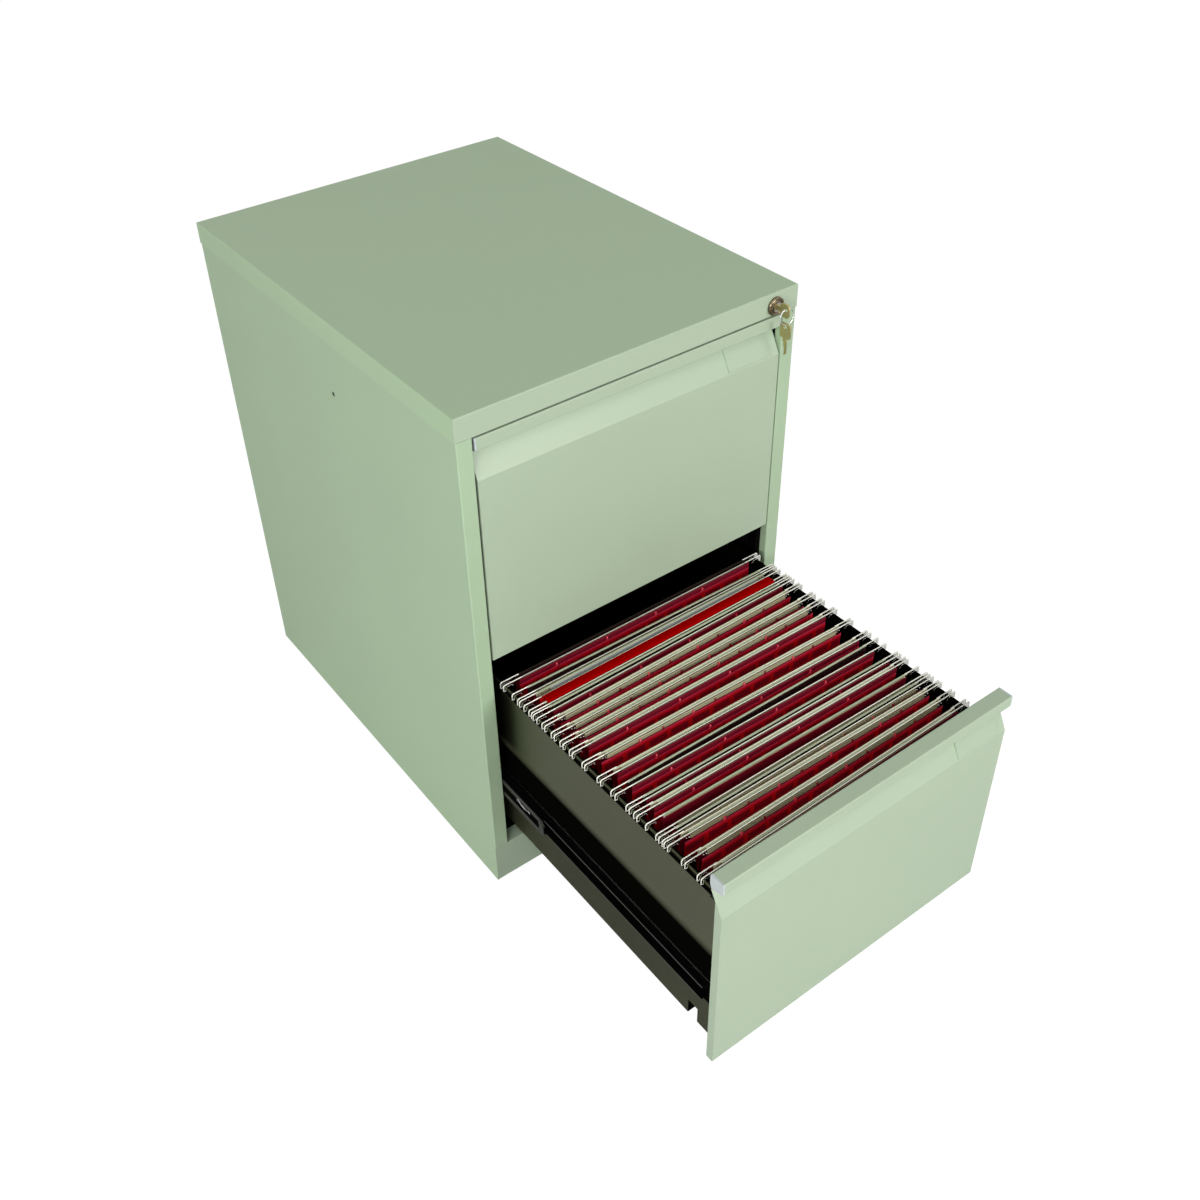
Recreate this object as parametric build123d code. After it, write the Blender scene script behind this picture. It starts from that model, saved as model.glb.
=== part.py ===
"""Two-drawer steel filing cabinet: upper drawer shut, lower drawer partly open and holding suspension files.

Millimetres. X points right, Y points to the back, Z points up. The front faces -Y, and the origin lies on the
floor at the centre of the cabinet's footprint.
"""
from build123d import *
import os
from math import cos, hypot, radians, sin

# Carcase
CABINET_WIDTH = 470.0
CABINET_DEPTH = 622.0
CABINET_HEIGHT = 711.0
SHEET = 1.0                  # wall of every folded panel
BEND = 1.5                   # radius of a fold, and of the rounded edges
FLOOR_GAP = 1.0              # from the floor to the panels' lower edges
LID_SKIRT = 28.6             # height of the lid's skirts and of the front fascia
PLINTH_HEIGHT = 62.0
PLINTH_FLANGE = 20.0
STILE_WIDTH = 20.8           # front face of the folded stile beside each drawer
STILE_RETURN = 20.0
STILE_HEM = 6.0
PANEL_SEAM = 0.3             # visible joint between stile, fascia and plinth
BASE_RISE = 15.0             # top of the base panel above the floor
BACK_FLANGE = 14.0
FIXING_HOLE_RADIUS = 3.0     # small hole in the left side
FIXING_HOLE_SETBACK = 278.0  # from the front plane
FIXING_HOLE_DROP = 99.0      # below the top
GLIDE_RADIUS = 13.0           # over the corners of its hexagonal foot
GLIDE_THICKNESS = 4.0
GLIDE_SHANK_RADIUS = 5.0
GLIDE_INSET_X = 25.0
GLIDE_INSET_Y = 41.0
UPRIGHT_WIDTH = 30.0
FRONT_UPRIGHT_SETBACK = 35.5
REAR_UPRIGHT_SETBACK = 66.0

# Drawer fronts
FRONT_SIDE_GAP = 2.4
FRONT_TOP_GAP = 2.9
FRONT_MIDDLE_GAP = 6.5
FRONT_BOTTOM_GAP = 7.0
LIP_DEPTH = 19.0             # depth of the pull lip, front to back
LIP_FACE = 15.2              # height of the lip's front face
LIP_BACK = 13.0              # height of the lip's folded back edge
RECESS_DEPTH = 16.6          # how far the finger recess goes in under the lip
RECESS_TOP = 20.0            # depth below the top where the recess is deepest
BEVEL_BOTTOM = 52.0          # depth below the top where the bevel meets the face
FRONT_FLANGE = 10.2          # depth of the flanges along its sides and its lower edge
FRONT_BOTTOM_HEM = 8.0
END_CAP_THICKNESS = 2.0
END_CAP_PLUG = 8.0
END_CAP_FIT = 0.1            # clearance round the plug inside the lip
BACKING_DROP = 36.0          # top of the backing panel below the top of the front
BACKING_FLANGE = 10.0
BACKING_INSET = 2.0

# Drawer box
SIDE_BOTTOM_RISE = 8.5       # underside of the drawer box above the lower edge of its front
SIDE_STEP = 4.0              # how far the upper part of the side stands out beyond the runner recess
SWAGE_START_RISE = 145.0
SWAGE_HEIGHT = 10.0
SIDE_SHOULDER_DROP = 48.5    # shoulder under the file rail, below the top of the front
SHOULDER_HEIGHT = 3.0
FILE_RAIL_DROP = 41.0        # top of the file rail below the top of the front
SIDE_BOTTOM_FLANGE = 12.0
DRAWER_REAR_GAP = 59.0       # from the shut drawer to the back panel
DRAWER_BACK_DROP = 60.0      # top of the drawer's back below the top of the front
DRAWER_BACK_HEM = 12.0
NOTCH_SETBACK = 43.5
NOTCH_WIDTH = 16.0
NOTCH_HEIGHT = 24.5
NOTCH_DEPTH = 24.0           # how far the notch goes in under the drawer

# Ball runners, measured outwards from the drawer side and up or down from the runner's middle line
RUNNER_WALL = 1.2
RUNNER_RISE = 93.9           # middle line above the lower edge of the front
DRAWER_RUNNER_HALF = 11.1    # half height over the drawer member's flanges
DRAWER_RUNNER_REACH = 11.7
RACE_GAP = 1.6               # between the flanges that a row of balls runs between
BALL_RADIUS = 1.3
BALL_FIT = 0.05              # clearance of a ball in its race
RACE_TURN = 22.5             # sets flats of the race towards the flanges
BALL_COUNT = 4               # in each row
INNER_RACE_OFFSET = 6.8
OUTER_RACE_OFFSET = 10.4
MIDDLE_TIP_OFFSET = 3.4      # inner edge of the middle member's flanges
MIDDLE_WEB_OFFSET = 15.3     # outer face of the middle member's web
CABINET_TIP_OFFSET = 6.2
CABINET_WEB_GAP = 1.8        # from the middle member's web to the cabinet member's web
RUNNER_TUCK = 1.1            # outer face of the cabinet member behind the edge of the stile
CAGE_STRIP = 0.7             # wall of a ball cage
CAGE_WEB_FIT = 0.6           # from a cage's web to the member outside it
INNER_WEB_FIT = 1.0          # from the inner cage's web to the middle member's web
CAGE_STRIP_MARGIN = 2.2      # from a race's middle to the free edge of its strip
CAGE_WINDOW_FIT = 0.15       # clearance round a ball in its window
CABINET_RUNNER_SETBACK = 23.0
CABINET_RUNNER_REAR_GAP = 57.0
MIDDLE_SETBACK = 112.0
MIDDLE_REAR_GAP = 59.0
DRAWER_RUNNER_SETBACK = 26.0
DRAWER_RUNNER_REAR_GAP = 94.0
MIDDLE_CHAMFER = 6.0
WINDOW_LENGTH = 27.0         # windows punched in the middle member, near its front end
WINDOW_HEIGHT = 9.0
WINDOW_PITCH = 60.0
WINDOW_COUNT = 2
WINDOW_SETBACK = 38.0
OUTER_CAGE_LENGTH = 190.0
OUTER_CAGE_SETBACK = 216.0   # from the front plane to the cage's front end, drawer shut
INNER_CAGE_LENGTH = 140.0
INNER_CAGE_SETBACK = 249.0
LOWER_OPENING = 396.5        # how far the lower drawer is pulled out
MIDDLE_SHARE = 0.5           # part of the drawer's travel that each moving member makes
OUTER_CAGE_SHARE = 0.25
INNER_CAGE_SHARE = 0.75

# Label holder on the bevel
LABEL_RIGHT_INSET = 12.0
LABEL_WIDTH = 66.0
LABEL_THICKNESS = 1.8
LABEL_TOP_EDGE = 2.5         # bevel left free above the holder
LABEL_BOTTOM_EDGE = 1.0      # and below it
LABEL_MARGIN = 3.0           # rim round the card pocket
LABEL_POCKET = 0.7
CARD_THICKNESS = 0.4
CARD_FIT = 0.5               # clearance round the card in its pocket

# Lock
LOCK_INSET = 35.0            # from the cabinet's right side
LOCK_DROP = 17.0             # below the top
BEZEL_RADIUS = 11.5
BEZEL_THICKNESS = 4.0
BEZEL_EDGE = 1.5
BARREL_RADIUS = 9.0
BARREL_HOLE_FIT = 0.1
BARREL_LENGTH = 20.5         # behind the front plane
CAM_GAP = 0.5                # from the barrel to the cam
NUT_ACROSS_FLATS = 20.0
NUT_THICKNESS = 5.0
PLUG_RADIUS = 6.0
PLUG_FIT = 0.05
PLUG_PROUD = 0.5
CAM_THICKNESS = 2.0
CAM_HUB_RADIUS = 6.5
CAM_ARM_WIDTH = 6.0
CRANK_RADIUS = 8.0
CRANK_START = 45.0           # degrees above level when unlocked
CRANK_PIN_RADIUS = 2.0
CRANK_PIN_LENGTH = 5.0
PIN_SLOT_FIT = 0.4
SLOT_WALL = 3.4
SLOT_END_ROOM = 1.0
LOCK_BAR_THICKNESS = 2.5
LOCK_BAR_WIDTH = 12.0
LOCK_BAR_GAP = 1.1           # outboard of the cabinet runners
LOCK_BAR_BACK_GAP = 0.5      # in front of the upright
LOCK_ARM_THICKNESS = 2.5
LOCK_ARM_GAP = 1.0           # behind the cam
LOCK_BAR_FOOT_DROP = 75.0    # bar's lower end below the lower catch
CATCH_INSET = 1.0            # behind the bar's front edge
CATCH_HEIGHT = 6.0
CATCH_CLEARANCE = 2.0        # above the latch bracket when unlocked
CATCH_REACH = 10.5
CATCH_THICKNESS = 3.2
LATCH_RISE = 200.0           # top of the latch bracket above the lower edge of the front
LATCH_HEIGHT = 10.0
LATCH_REACH = 11.0
LATCH_WALL = 1.2
LATCH_FOOT = 20.0
LATCH_GAP = 1.8              # behind the catch when locked
GUIDE_HEIGHT = 12.0
GUIDE_FIT = 0.3
GUIDE_WALL = 1.0
GUIDE_RISE = 140.0           # lower guide above the lower edge of the lower front
GUIDE_DROP = 60.0            # upper guide below the lock
KEY_THICKNESS = 2.0
KEY_BLADE_HEIGHT = 7.0
KEY_BLADE_LENGTH = 20.0
KEY_NECK = 5.0               # from the plug's face to the bow
KEY_BOW_RADIUS = 10.2
KEY_HOLE_RADIUS = 3.0
KEY_HOLE_SETBACK = 5.2       # from the bow's middle towards its outer end
KEY_SLOT_FIT = 0.15

# Suspension files in the lower drawer: front bar behind the front plane, and gap between the two bars
FILES = (
    (34.5, 8.0), (63.5, 6.0), (91.5, 7.0), (108.5, 5.5), (130.5, 4.5), (142.5, 7.0),
    (155.5, 8.0), (180.5, 7.0), (204.5, 6.5), (232.5, 8.0), (255.5, 7.0), (272.5, 7.0),
    (288.5, 7.0), (305.5, 10.0), (323.5, 5.0), (335.5, 7.0), (355.5, 18.0), (390.5, 5.0),
)
BAR_THICKNESS = 1.0
BAR_HEIGHT = 9.0
BAR_ARM = 4.5                # depth of the arm over the rail
BAR_ARM_LENGTH = 10.0
HOOK_WIDTH = 4.0
HOOK_DROP = 8.0
HOOK_OVERHANG = 2.5          # hook's outer edge beyond the drawer side's shoulder
HOOK_CORNER = 2.4            # bevel of its upper corner
CARD_WALL = 0.6
FOLDER_INSET = 22.0          # folder's edge inside the bar's end
FOLDER_TOP_DROP = 3.0        # folder's top edge below the top of the bar
FOLDER_STRAIGHT = 9.0
FOLDER_FOOT = 3.0
FOLDER_FLOOR_GAP = 12.0

# Places worked out from the sizes above
FRONT_PLANE = -CABINET_DEPTH / 2
REAR_PLANE = CABINET_DEPTH / 2
HALF_WIDTH = CABINET_WIDTH / 2
SIDE_OUTER = HALF_WIDTH - SHEET
SIDE_INNER = SIDE_OUTER - SHEET
OPENING_HALF = HALF_WIDTH - STILE_WIDTH
LID_UNDERSIDE = CABINET_HEIGHT - SHEET
FASCIA_BOTTOM = CABINET_HEIGHT - LID_SKIRT
BACK_FACE = REAR_PLANE - SHEET
BACK_INNER = BACK_FACE - SHEET
FRONT_HALF = OPENING_HALF - FRONT_SIDE_GAP
FRONT_GAPS = FRONT_TOP_GAP + FRONT_MIDDLE_GAP + FRONT_BOTTOM_GAP
FRONT_HEIGHT = (FASCIA_BOTTOM - PLINTH_HEIGHT - FRONT_GAPS) / 2
LOWER_BASE = PLINTH_HEIGHT + FRONT_BOTTOM_GAP
UPPER_BASE = LOWER_BASE + FRONT_HEIGHT + FRONT_MIDDLE_GAP
CABINET_WEB_OUTER = OPENING_HALF + RUNNER_TUCK
CABINET_WEB_INNER = CABINET_WEB_OUTER - RUNNER_WALL
MIDDLE_WEB_OUTER = CABINET_WEB_INNER - CABINET_WEB_GAP
RECESS_FACE = MIDDLE_WEB_OUTER - MIDDLE_WEB_OFFSET
SIDE_FACE = RECESS_FACE + SIDE_STEP
BACKING_FACE = FRONT_PLANE + FRONT_FLANGE
BOX_FRONT = BACKING_FACE + SHEET
BOX_REAR = BACK_INNER - DRAWER_REAR_GAP
MIDDLE_HALF = DRAWER_RUNNER_HALF + RACE_GAP + RUNNER_WALL
CABINET_RUNNER_HALF = MIDDLE_HALF + RACE_GAP + RUNNER_WALL
INNER_RACE_HEIGHT = DRAWER_RUNNER_HALF + RACE_GAP / 2
OUTER_RACE_HEIGHT = MIDDLE_HALF + RACE_GAP / 2
LOCK_X = HALF_WIDTH - LOCK_INSET
LOCK_Z = CABINET_HEIGHT - LOCK_DROP
UPRIGHT_FRONT = FRONT_PLANE + FRONT_UPRIGHT_SETBACK
LOCK_BAR_INNER = CABINET_WEB_OUTER + LOCK_BAR_GAP
LOCK_BAR_OUTER = LOCK_BAR_INNER + LOCK_BAR_THICKNESS
LOCK_BAR_BACK = UPRIGHT_FRONT - LOCK_BAR_BACK_GAP
LOCK_BAR_FRONT = LOCK_BAR_BACK - LOCK_BAR_WIDTH
BARREL_REAR = FRONT_PLANE + BARREL_LENGTH
CAM_FRONT = BARREL_REAR + CAM_GAP
CAM_REAR = CAM_FRONT + CAM_THICKNESS
PLUG_FACE = FRONT_PLANE - BEZEL_THICKNESS - PLUG_PROUD
CATCH_FRONT = LOCK_BAR_FRONT + CATCH_INSET
BEVEL_LENGTH = hypot(RECESS_DEPTH, BEVEL_BOTTOM - RECESS_TOP)


def fold(points, wall=SHEET, bend=BEND):
    """Closed outline of a folded sheet: the path is one skin, and the wall lies to the left of its travel.

    Hidden brackets and channels are folded with a bend of 0, which leaves their corners sharp.
    """
    path = FilletPolyline(*points, radius=bend) if bend else Polyline(*points)
    return make_face(offset(path, amount=wall, side=Side.LEFT, kind=Kind.INTERSECTION).edges())


def across(face, low_x, high_x):
    """Pull a section drawn in (Y, Z) along X."""
    section = Plane(origin=(low_x, 0, 0), x_dir=(0, 1, 0), z_dir=(1, 0, 0)) * face
    return extrude(section, amount=high_x - low_x, dir=(1, 0, 0))


def along(face, front_y, rear_y):
    """Pull a section drawn in (X, Z) from front to back."""
    section = Plane(origin=(0, front_y, 0), x_dir=(1, 0, 0), z_dir=(0, -1, 0)) * face
    return extrude(section, amount=rear_y - front_y, dir=(0, 1, 0))


def upward(face, low_z, high_z):
    """Pull a section drawn in (X, Y) up along Z."""
    return extrude(Plane.XY.offset(low_z) * face, amount=high_z - low_z, dir=(0, 0, 1))


def block(low, high):
    """A box between two opposite corners."""
    size = [high[axis] - low[axis] for axis in range(3)]
    middle = [(high[axis] + low[axis]) / 2 for axis in range(3)]
    return Pos(*middle) * Box(*size)


def rod_across(low_x, high_x, y, z, radius):
    """A cylinder lying along X."""
    return Pos((low_x + high_x) / 2, y, z) * Rot(0, 90, 0) * Cylinder(radius, high_x - low_x)


def rod_along(x, front_y, rear_y, z, radius):
    """A cylinder lying along Y."""
    return Pos(x, (front_y + rear_y) / 2, z) * Rot(90, 0, 0) * Cylinder(radius, rear_y - front_y)


def mirrored(shape):
    """The same piece for the cabinet's other side."""
    return mirror(shape, about=Plane.YZ)


def build_top_panel():
    outer = block((-HALF_WIDTH, FRONT_PLANE, FASCIA_BOTTOM), (HALF_WIDTH, REAR_PLANE, CABINET_HEIGHT))
    outer = fillet(outer.edges().group_by(Axis.Z)[-1], BEND)
    inner = block((-SIDE_OUTER, FRONT_PLANE + SHEET, FASCIA_BOTTOM),
                  (SIDE_OUTER, REAR_PLANE - SHEET, LID_UNDERSIDE))
    fascia_flange = block((-OPENING_HALF, FRONT_PLANE + SHEET / 2, FASCIA_BOTTOM),
                          (OPENING_HALF, FRONT_PLANE + STILE_RETURN, FASCIA_BOTTOM + SHEET))
    lock_hole = rod_along(LOCK_X, FRONT_PLANE - SHEET, FRONT_PLANE + 2 * SHEET, LOCK_Z,
                          BARREL_RADIUS + BARREL_HOLE_FIT)
    return outer - inner + fascia_flange - lock_hole


def build_right_side_panel():
    stile_path = [
        (OPENING_HALF + STILE_HEM, FRONT_PLANE + STILE_RETURN),
        (OPENING_HALF, FRONT_PLANE + STILE_RETURN),
        (OPENING_HALF, FRONT_PLANE),
        (SIDE_OUTER, FRONT_PLANE),
        (SIDE_OUTER, BACK_FACE),
    ]
    folded = upward(fold(stile_path), PLINTH_HEIGHT + PANEL_SEAM, FASCIA_BOTTOM - PANEL_SEAM)
    wall = block((SIDE_INNER, FRONT_PLANE + BEND, FLOOR_GAP), (SIDE_OUTER, BACK_FACE, LID_UNDERSIDE))
    plinth_end = block((SIDE_INNER, FRONT_PLANE, FLOOR_GAP),
                       (SIDE_OUTER, FRONT_PLANE + 2 * BEND, PLINTH_HEIGHT))
    fascia_end = block((SIDE_INNER, FRONT_PLANE + SHEET, FASCIA_BOTTOM),
                       (SIDE_OUTER, FRONT_PLANE + 2 * BEND, LID_UNDERSIDE))
    return folded + wall + plinth_end + fascia_end


def build_left_side_panel():
    panel = mirrored(build_right_side_panel())
    hole_y = FRONT_PLANE + FIXING_HOLE_SETBACK
    hole_z = CABINET_HEIGHT - FIXING_HOLE_DROP
    return panel - rod_across(-HALF_WIDTH, -SIDE_INNER + SHEET, hole_y, hole_z, FIXING_HOLE_RADIUS)


def build_back_panel():
    path = [
        (SIDE_INNER, BACK_FACE - BACK_FLANGE),
        (SIDE_INNER, BACK_FACE),
        (-SIDE_INNER, BACK_FACE),
        (-SIDE_INNER, BACK_FACE - BACK_FLANGE),
    ]
    return upward(fold(path, bend=0), BASE_RISE, LID_UNDERSIDE)


def build_base_panel():
    path = [
        (SIDE_INNER, FLOOR_GAP),
        (SIDE_INNER, BASE_RISE),
        (-SIDE_INNER, BASE_RISE),
        (-SIDE_INNER, FLOOR_GAP),
    ]
    return along(fold(path, bend=0), FRONT_PLANE + PLINTH_FLANGE, BACK_FACE)


def build_front_plinth():
    path = [
        (FRONT_PLANE + PLINTH_FLANGE, PLINTH_HEIGHT),
        (FRONT_PLANE, PLINTH_HEIGHT),
        (FRONT_PLANE, FLOOR_GAP),
        (FRONT_PLANE + PLINTH_FLANGE, FLOOR_GAP),
        (FRONT_PLANE + PLINTH_FLANGE, BASE_RISE),
    ]
    return across(fold(path), -SIDE_INNER, SIDE_INNER)


def build_upright(front_y):
    path = [
        (SIDE_INNER, front_y + UPRIGHT_WIDTH),
        (CABINET_WEB_OUTER, front_y + UPRIGHT_WIDTH),
        (CABINET_WEB_OUTER, front_y),
        (SIDE_INNER, front_y),
    ]
    return upward(fold(path, bend=0), BASE_RISE, LID_UNDERSIDE)


def build_floor_glides():
    """Four hexagonal feet, each with a smaller hexagon above it that is pressed into the base."""
    foot = extrude(RegularPolygon(GLIDE_RADIUS, 6), amount=GLIDE_THICKNESS)
    shank = extrude(RegularPolygon(GLIDE_SHANK_RADIUS, 6), amount=BASE_RISE - SHEET)
    glide = foot + shank
    half_x = HALF_WIDTH - GLIDE_INSET_X
    half_y = CABINET_DEPTH / 2 - GLIDE_INSET_Y
    return [Pos(x, y, 0) * glide for x in (-half_x, half_x) for y in (-half_y, half_y)]


def race(offset_out, height, front_y, rear_y):
    """The eight-sided passage that a row of balls runs in; the flanges on each side keep a part of it."""
    passage = RegularPolygon(BALL_RADIUS + BALL_FIT, 8, major_radius=False, rotation=RACE_TURN)
    return along(Pos(RECESS_FACE + offset_out, height) * passage, front_y - RUNNER_WALL, rear_y + RUNNER_WALL)


def channel(web_side, tip_side, half_height, front_y, rear_y):
    """A channel on its side: its web stands at web_side and its flanges reach to tip_side."""
    path = [
        (tip_side, half_height),
        (web_side, half_height),
        (web_side, -half_height),
        (tip_side, -half_height),
    ]
    if web_side > tip_side:
        path.reverse()
    return along(fold(path, RUNNER_WALL, bend=0), front_y, rear_y)


def build_cabinet_runner(base):
    front_y = FRONT_PLANE + CABINET_RUNNER_SETBACK
    rear_y = BACK_INNER - CABINET_RUNNER_REAR_GAP
    tip_x = RECESS_FACE + CABINET_TIP_OFFSET
    member = channel(CABINET_WEB_OUTER, tip_x, CABINET_RUNNER_HALF, front_y, rear_y)
    for side in (-1, 1):
        member -= race(OUTER_RACE_OFFSET, side * OUTER_RACE_HEIGHT, front_y, rear_y)
    return Pos(0, 0, base + RUNNER_RISE) * member


def build_middle_runner(base, shift):
    front_y = FRONT_PLANE + MIDDLE_SETBACK
    rear_y = BACK_INNER - MIDDLE_REAR_GAP
    member = channel(MIDDLE_WEB_OUTER, RECESS_FACE + MIDDLE_TIP_OFFSET, MIDDLE_HALF, front_y, rear_y)
    for side in (-1, 1):
        member -= race(OUTER_RACE_OFFSET, side * OUTER_RACE_HEIGHT, front_y, rear_y)
        member -= race(INNER_RACE_OFFSET, side * INNER_RACE_HEIGHT, front_y, rear_y)
    for index in range(WINDOW_COUNT):
        window_y = front_y + WINDOW_SETBACK + index * WINDOW_PITCH
        member -= block((RECESS_FACE, window_y, -WINDOW_HEIGHT / 2),
                        (CABINET_WEB_OUTER, window_y + WINDOW_LENGTH, WINDOW_HEIGHT / 2))
    for side in (-1, 1):
        corner = [
            (front_y, side * MIDDLE_HALF),
            (front_y + MIDDLE_CHAMFER, side * MIDDLE_HALF),
            (front_y, side * (MIDDLE_HALF - MIDDLE_CHAMFER)),
        ]
        member -= across(make_face(Polyline(*corner, close=True)), RECESS_FACE, CABINET_WEB_OUTER)
    return Pos(0, -shift, base + RUNNER_RISE) * member


def build_drawer_runner(base, shift):
    front_y = FRONT_PLANE + DRAWER_RUNNER_SETBACK
    rear_y = BACK_INNER - DRAWER_RUNNER_REAR_GAP
    member = channel(RECESS_FACE, RECESS_FACE + DRAWER_RUNNER_REACH, DRAWER_RUNNER_HALF, front_y, rear_y)
    for side in (-1, 1):
        member -= race(INNER_RACE_OFFSET, side * INNER_RACE_HEIGHT, front_y, rear_y)
    return Pos(0, -shift, base + RUNNER_RISE) * member


def build_ball_cages(race_offset, race_height, web_outer, setback, length, base, shift):
    """A pair of cages with a window for each ball, for the runners on both sides of one drawer."""
    front_y = FRONT_PLANE + setback
    rear_y = front_y + length
    race_x = RECESS_FACE + race_offset
    strip_x = race_x - CAGE_STRIP_MARGIN
    half = race_height + CAGE_STRIP / 2
    path = [(strip_x, -half), (web_outer, -half), (web_outer, half), (strip_x, half)]
    cage = along(fold(path, CAGE_STRIP, bend=0), front_y, rear_y)
    half_window = BALL_RADIUS + CAGE_WINDOW_FIT
    pitch = length / BALL_COUNT
    for index in range(BALL_COUNT):
        ball_y = front_y + pitch * (index + 0.5)
        cage -= block((race_x - half_window, ball_y - half_window, -2 * half),
                      (race_x + half_window, ball_y + half_window, 2 * half))
    cage = Pos(0, -shift, base + RUNNER_RISE) * cage
    return [cage, mirrored(cage)]


def build_outer_cages(base, shift):
    web_outer = CABINET_WEB_INNER - CAGE_WEB_FIT
    return build_ball_cages(OUTER_RACE_OFFSET, OUTER_RACE_HEIGHT, web_outer, OUTER_CAGE_SETBACK,
                            OUTER_CAGE_LENGTH, base, shift)


def build_inner_cages(base, shift):
    web_outer = MIDDLE_WEB_OUTER - RUNNER_WALL - INNER_WEB_FIT
    return build_ball_cages(INNER_RACE_OFFSET, INNER_RACE_HEIGHT, web_outer, INNER_CAGE_SETBACK,
                            INNER_CAGE_LENGTH, base, shift)


def front_section(top):
    """Path of the drawer front's skin, from the lip's back edge to the hem under the drawer."""
    return [
        (FRONT_PLANE + LIP_DEPTH, top - LIP_BACK),
        (FRONT_PLANE + LIP_DEPTH, top),
        (FRONT_PLANE, top),
        (FRONT_PLANE, top - LIP_FACE),
        (FRONT_PLANE + RECESS_DEPTH, top - RECESS_TOP),
        (FRONT_PLANE, top - BEVEL_BOTTOM),
        (FRONT_PLANE, top - FRONT_HEIGHT),
        (FRONT_PLANE + FRONT_FLANGE, top - FRONT_HEIGHT),
        (FRONT_PLANE + FRONT_FLANGE, top - FRONT_HEIGHT + FRONT_BOTTOM_HEM),
    ]


def bevel_depth_at(setback):
    """Depth below the top at which the bevel's skin lies a given distance behind the front plane."""
    share = (RECESS_DEPTH - setback) / RECESS_DEPTH
    return RECESS_TOP + share * (BEVEL_BOTTOM - RECESS_TOP)


def build_drawer_front(base, shift):
    top = base + FRONT_HEIGHT
    skin = across(fold(front_section(top)), -FRONT_HALF, FRONT_HALF)
    inset = SHEET / 2
    flange = make_face(Polyline(
        (FRONT_PLANE + inset, base + inset),
        (FRONT_PLANE + inset, top - BEVEL_BOTTOM - inset),
        (FRONT_PLANE + FRONT_FLANGE, top - bevel_depth_at(FRONT_FLANGE) - inset),
        (FRONT_PLANE + FRONT_FLANGE, base + inset),
        close=True))
    skin += across(flange, FRONT_HALF - SHEET, FRONT_HALF) + across(flange, -FRONT_HALF, SHEET - FRONT_HALF)
    for side in (-1, 1):
        low, high = sorted((side * (FRONT_HALF - END_CAP_THICKNESS), side * (FRONT_HALF + SHEET)))
        skin -= block((low, FRONT_PLANE - SHEET, top - RECESS_TOP),
                      (high, FRONT_PLANE + LIP_DEPTH + SHEET, top + SHEET))
    return Pos(0, -shift, 0) * skin


def lip_outline(top):
    """The pull lip's whole section."""
    return make_face(Polyline(
        (FRONT_PLANE, top),
        (FRONT_PLANE + LIP_DEPTH, top),
        (FRONT_PLANE + LIP_DEPTH, top - LIP_BACK),
        (FRONT_PLANE + RECESS_DEPTH, top - RECESS_TOP),
        (FRONT_PLANE, top - LIP_FACE),
        close=True))


def build_pull_end_caps(base, shift):
    top = base + FRONT_HEIGHT
    plate = across(lip_outline(top), FRONT_HALF - END_CAP_THICKNESS, FRONT_HALF)
    plate = chamfer(plate.edges().filter_by(Axis.X), SHEET)
    plug_face = offset(lip_outline(top), amount=-BEND - END_CAP_FIT, kind=Kind.INTERSECTION)
    plug = across(plug_face, FRONT_HALF - END_CAP_THICKNESS - END_CAP_PLUG, FRONT_HALF - SHEET)
    cap = Pos(0, -shift, 0) * (plate + plug)
    return [cap, mirrored(cap)]


def build_front_backing(base, shift):
    top = base + FRONT_HEIGHT - BACKING_DROP
    path = [
        (BACKING_FACE + BACKING_FLANGE, top),
        (BACKING_FACE, top),
        (BACKING_FACE, base + SHEET),
    ]
    return Pos(0, -shift, 0) * across(fold(path), BACKING_INSET - FRONT_HALF, FRONT_HALF - BACKING_INSET)


def right_notch(base):
    """Room of the notch in the drawer's lower right edge, with the drawer shut."""
    front_y = FRONT_PLANE + NOTCH_SETBACK
    return block((RECESS_FACE - NOTCH_DEPTH, front_y, base),
                 (RECESS_FACE + SHEET, front_y + NOTCH_WIDTH, base + SIDE_BOTTOM_RISE + NOTCH_HEIGHT))


def build_right_drawer_side(base, shift):
    top = base + FRONT_HEIGHT
    path = [
        (RECESS_FACE - SIDE_BOTTOM_FLANGE, base + SIDE_BOTTOM_RISE),
        (RECESS_FACE, base + SIDE_BOTTOM_RISE),
        (RECESS_FACE, base + SWAGE_START_RISE),
        (SIDE_FACE, base + SWAGE_START_RISE + SWAGE_HEIGHT),
        (SIDE_FACE, top - SIDE_SHOULDER_DROP),
        (RECESS_FACE, top - SIDE_SHOULDER_DROP + SHOULDER_HEIGHT),
        (RECESS_FACE, top - FILE_RAIL_DROP),
    ]
    panel = along(fold(path), BOX_FRONT, BOX_REAR) - right_notch(base)
    return Pos(0, -shift, 0) * panel


def build_drawer_bottom(base, shift):
    floor_z = base + SIDE_BOTTOM_RISE + SHEET
    half_width = RECESS_FACE - BEND
    plate = block((-half_width, BOX_FRONT, floor_z), (half_width, BOX_REAR, floor_z + SHEET))
    plate -= right_notch(base)
    plate -= mirrored(right_notch(base))
    return Pos(0, -shift, 0) * plate


def build_drawer_back(base, shift):
    low = base + SIDE_BOTTOM_RISE + 2 * SHEET
    top = base + FRONT_HEIGHT - DRAWER_BACK_DROP
    path = [(BOX_REAR, low), (BOX_REAR, top), (BOX_REAR - DRAWER_BACK_HEM, top)]
    half_width = RECESS_FACE - SHEET
    return Pos(0, -shift, 0) * across(fold(path), -half_width, half_width)


def label_span():
    right = FRONT_HALF - LABEL_RIGHT_INSET
    return right - LABEL_WIDTH, right


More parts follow.
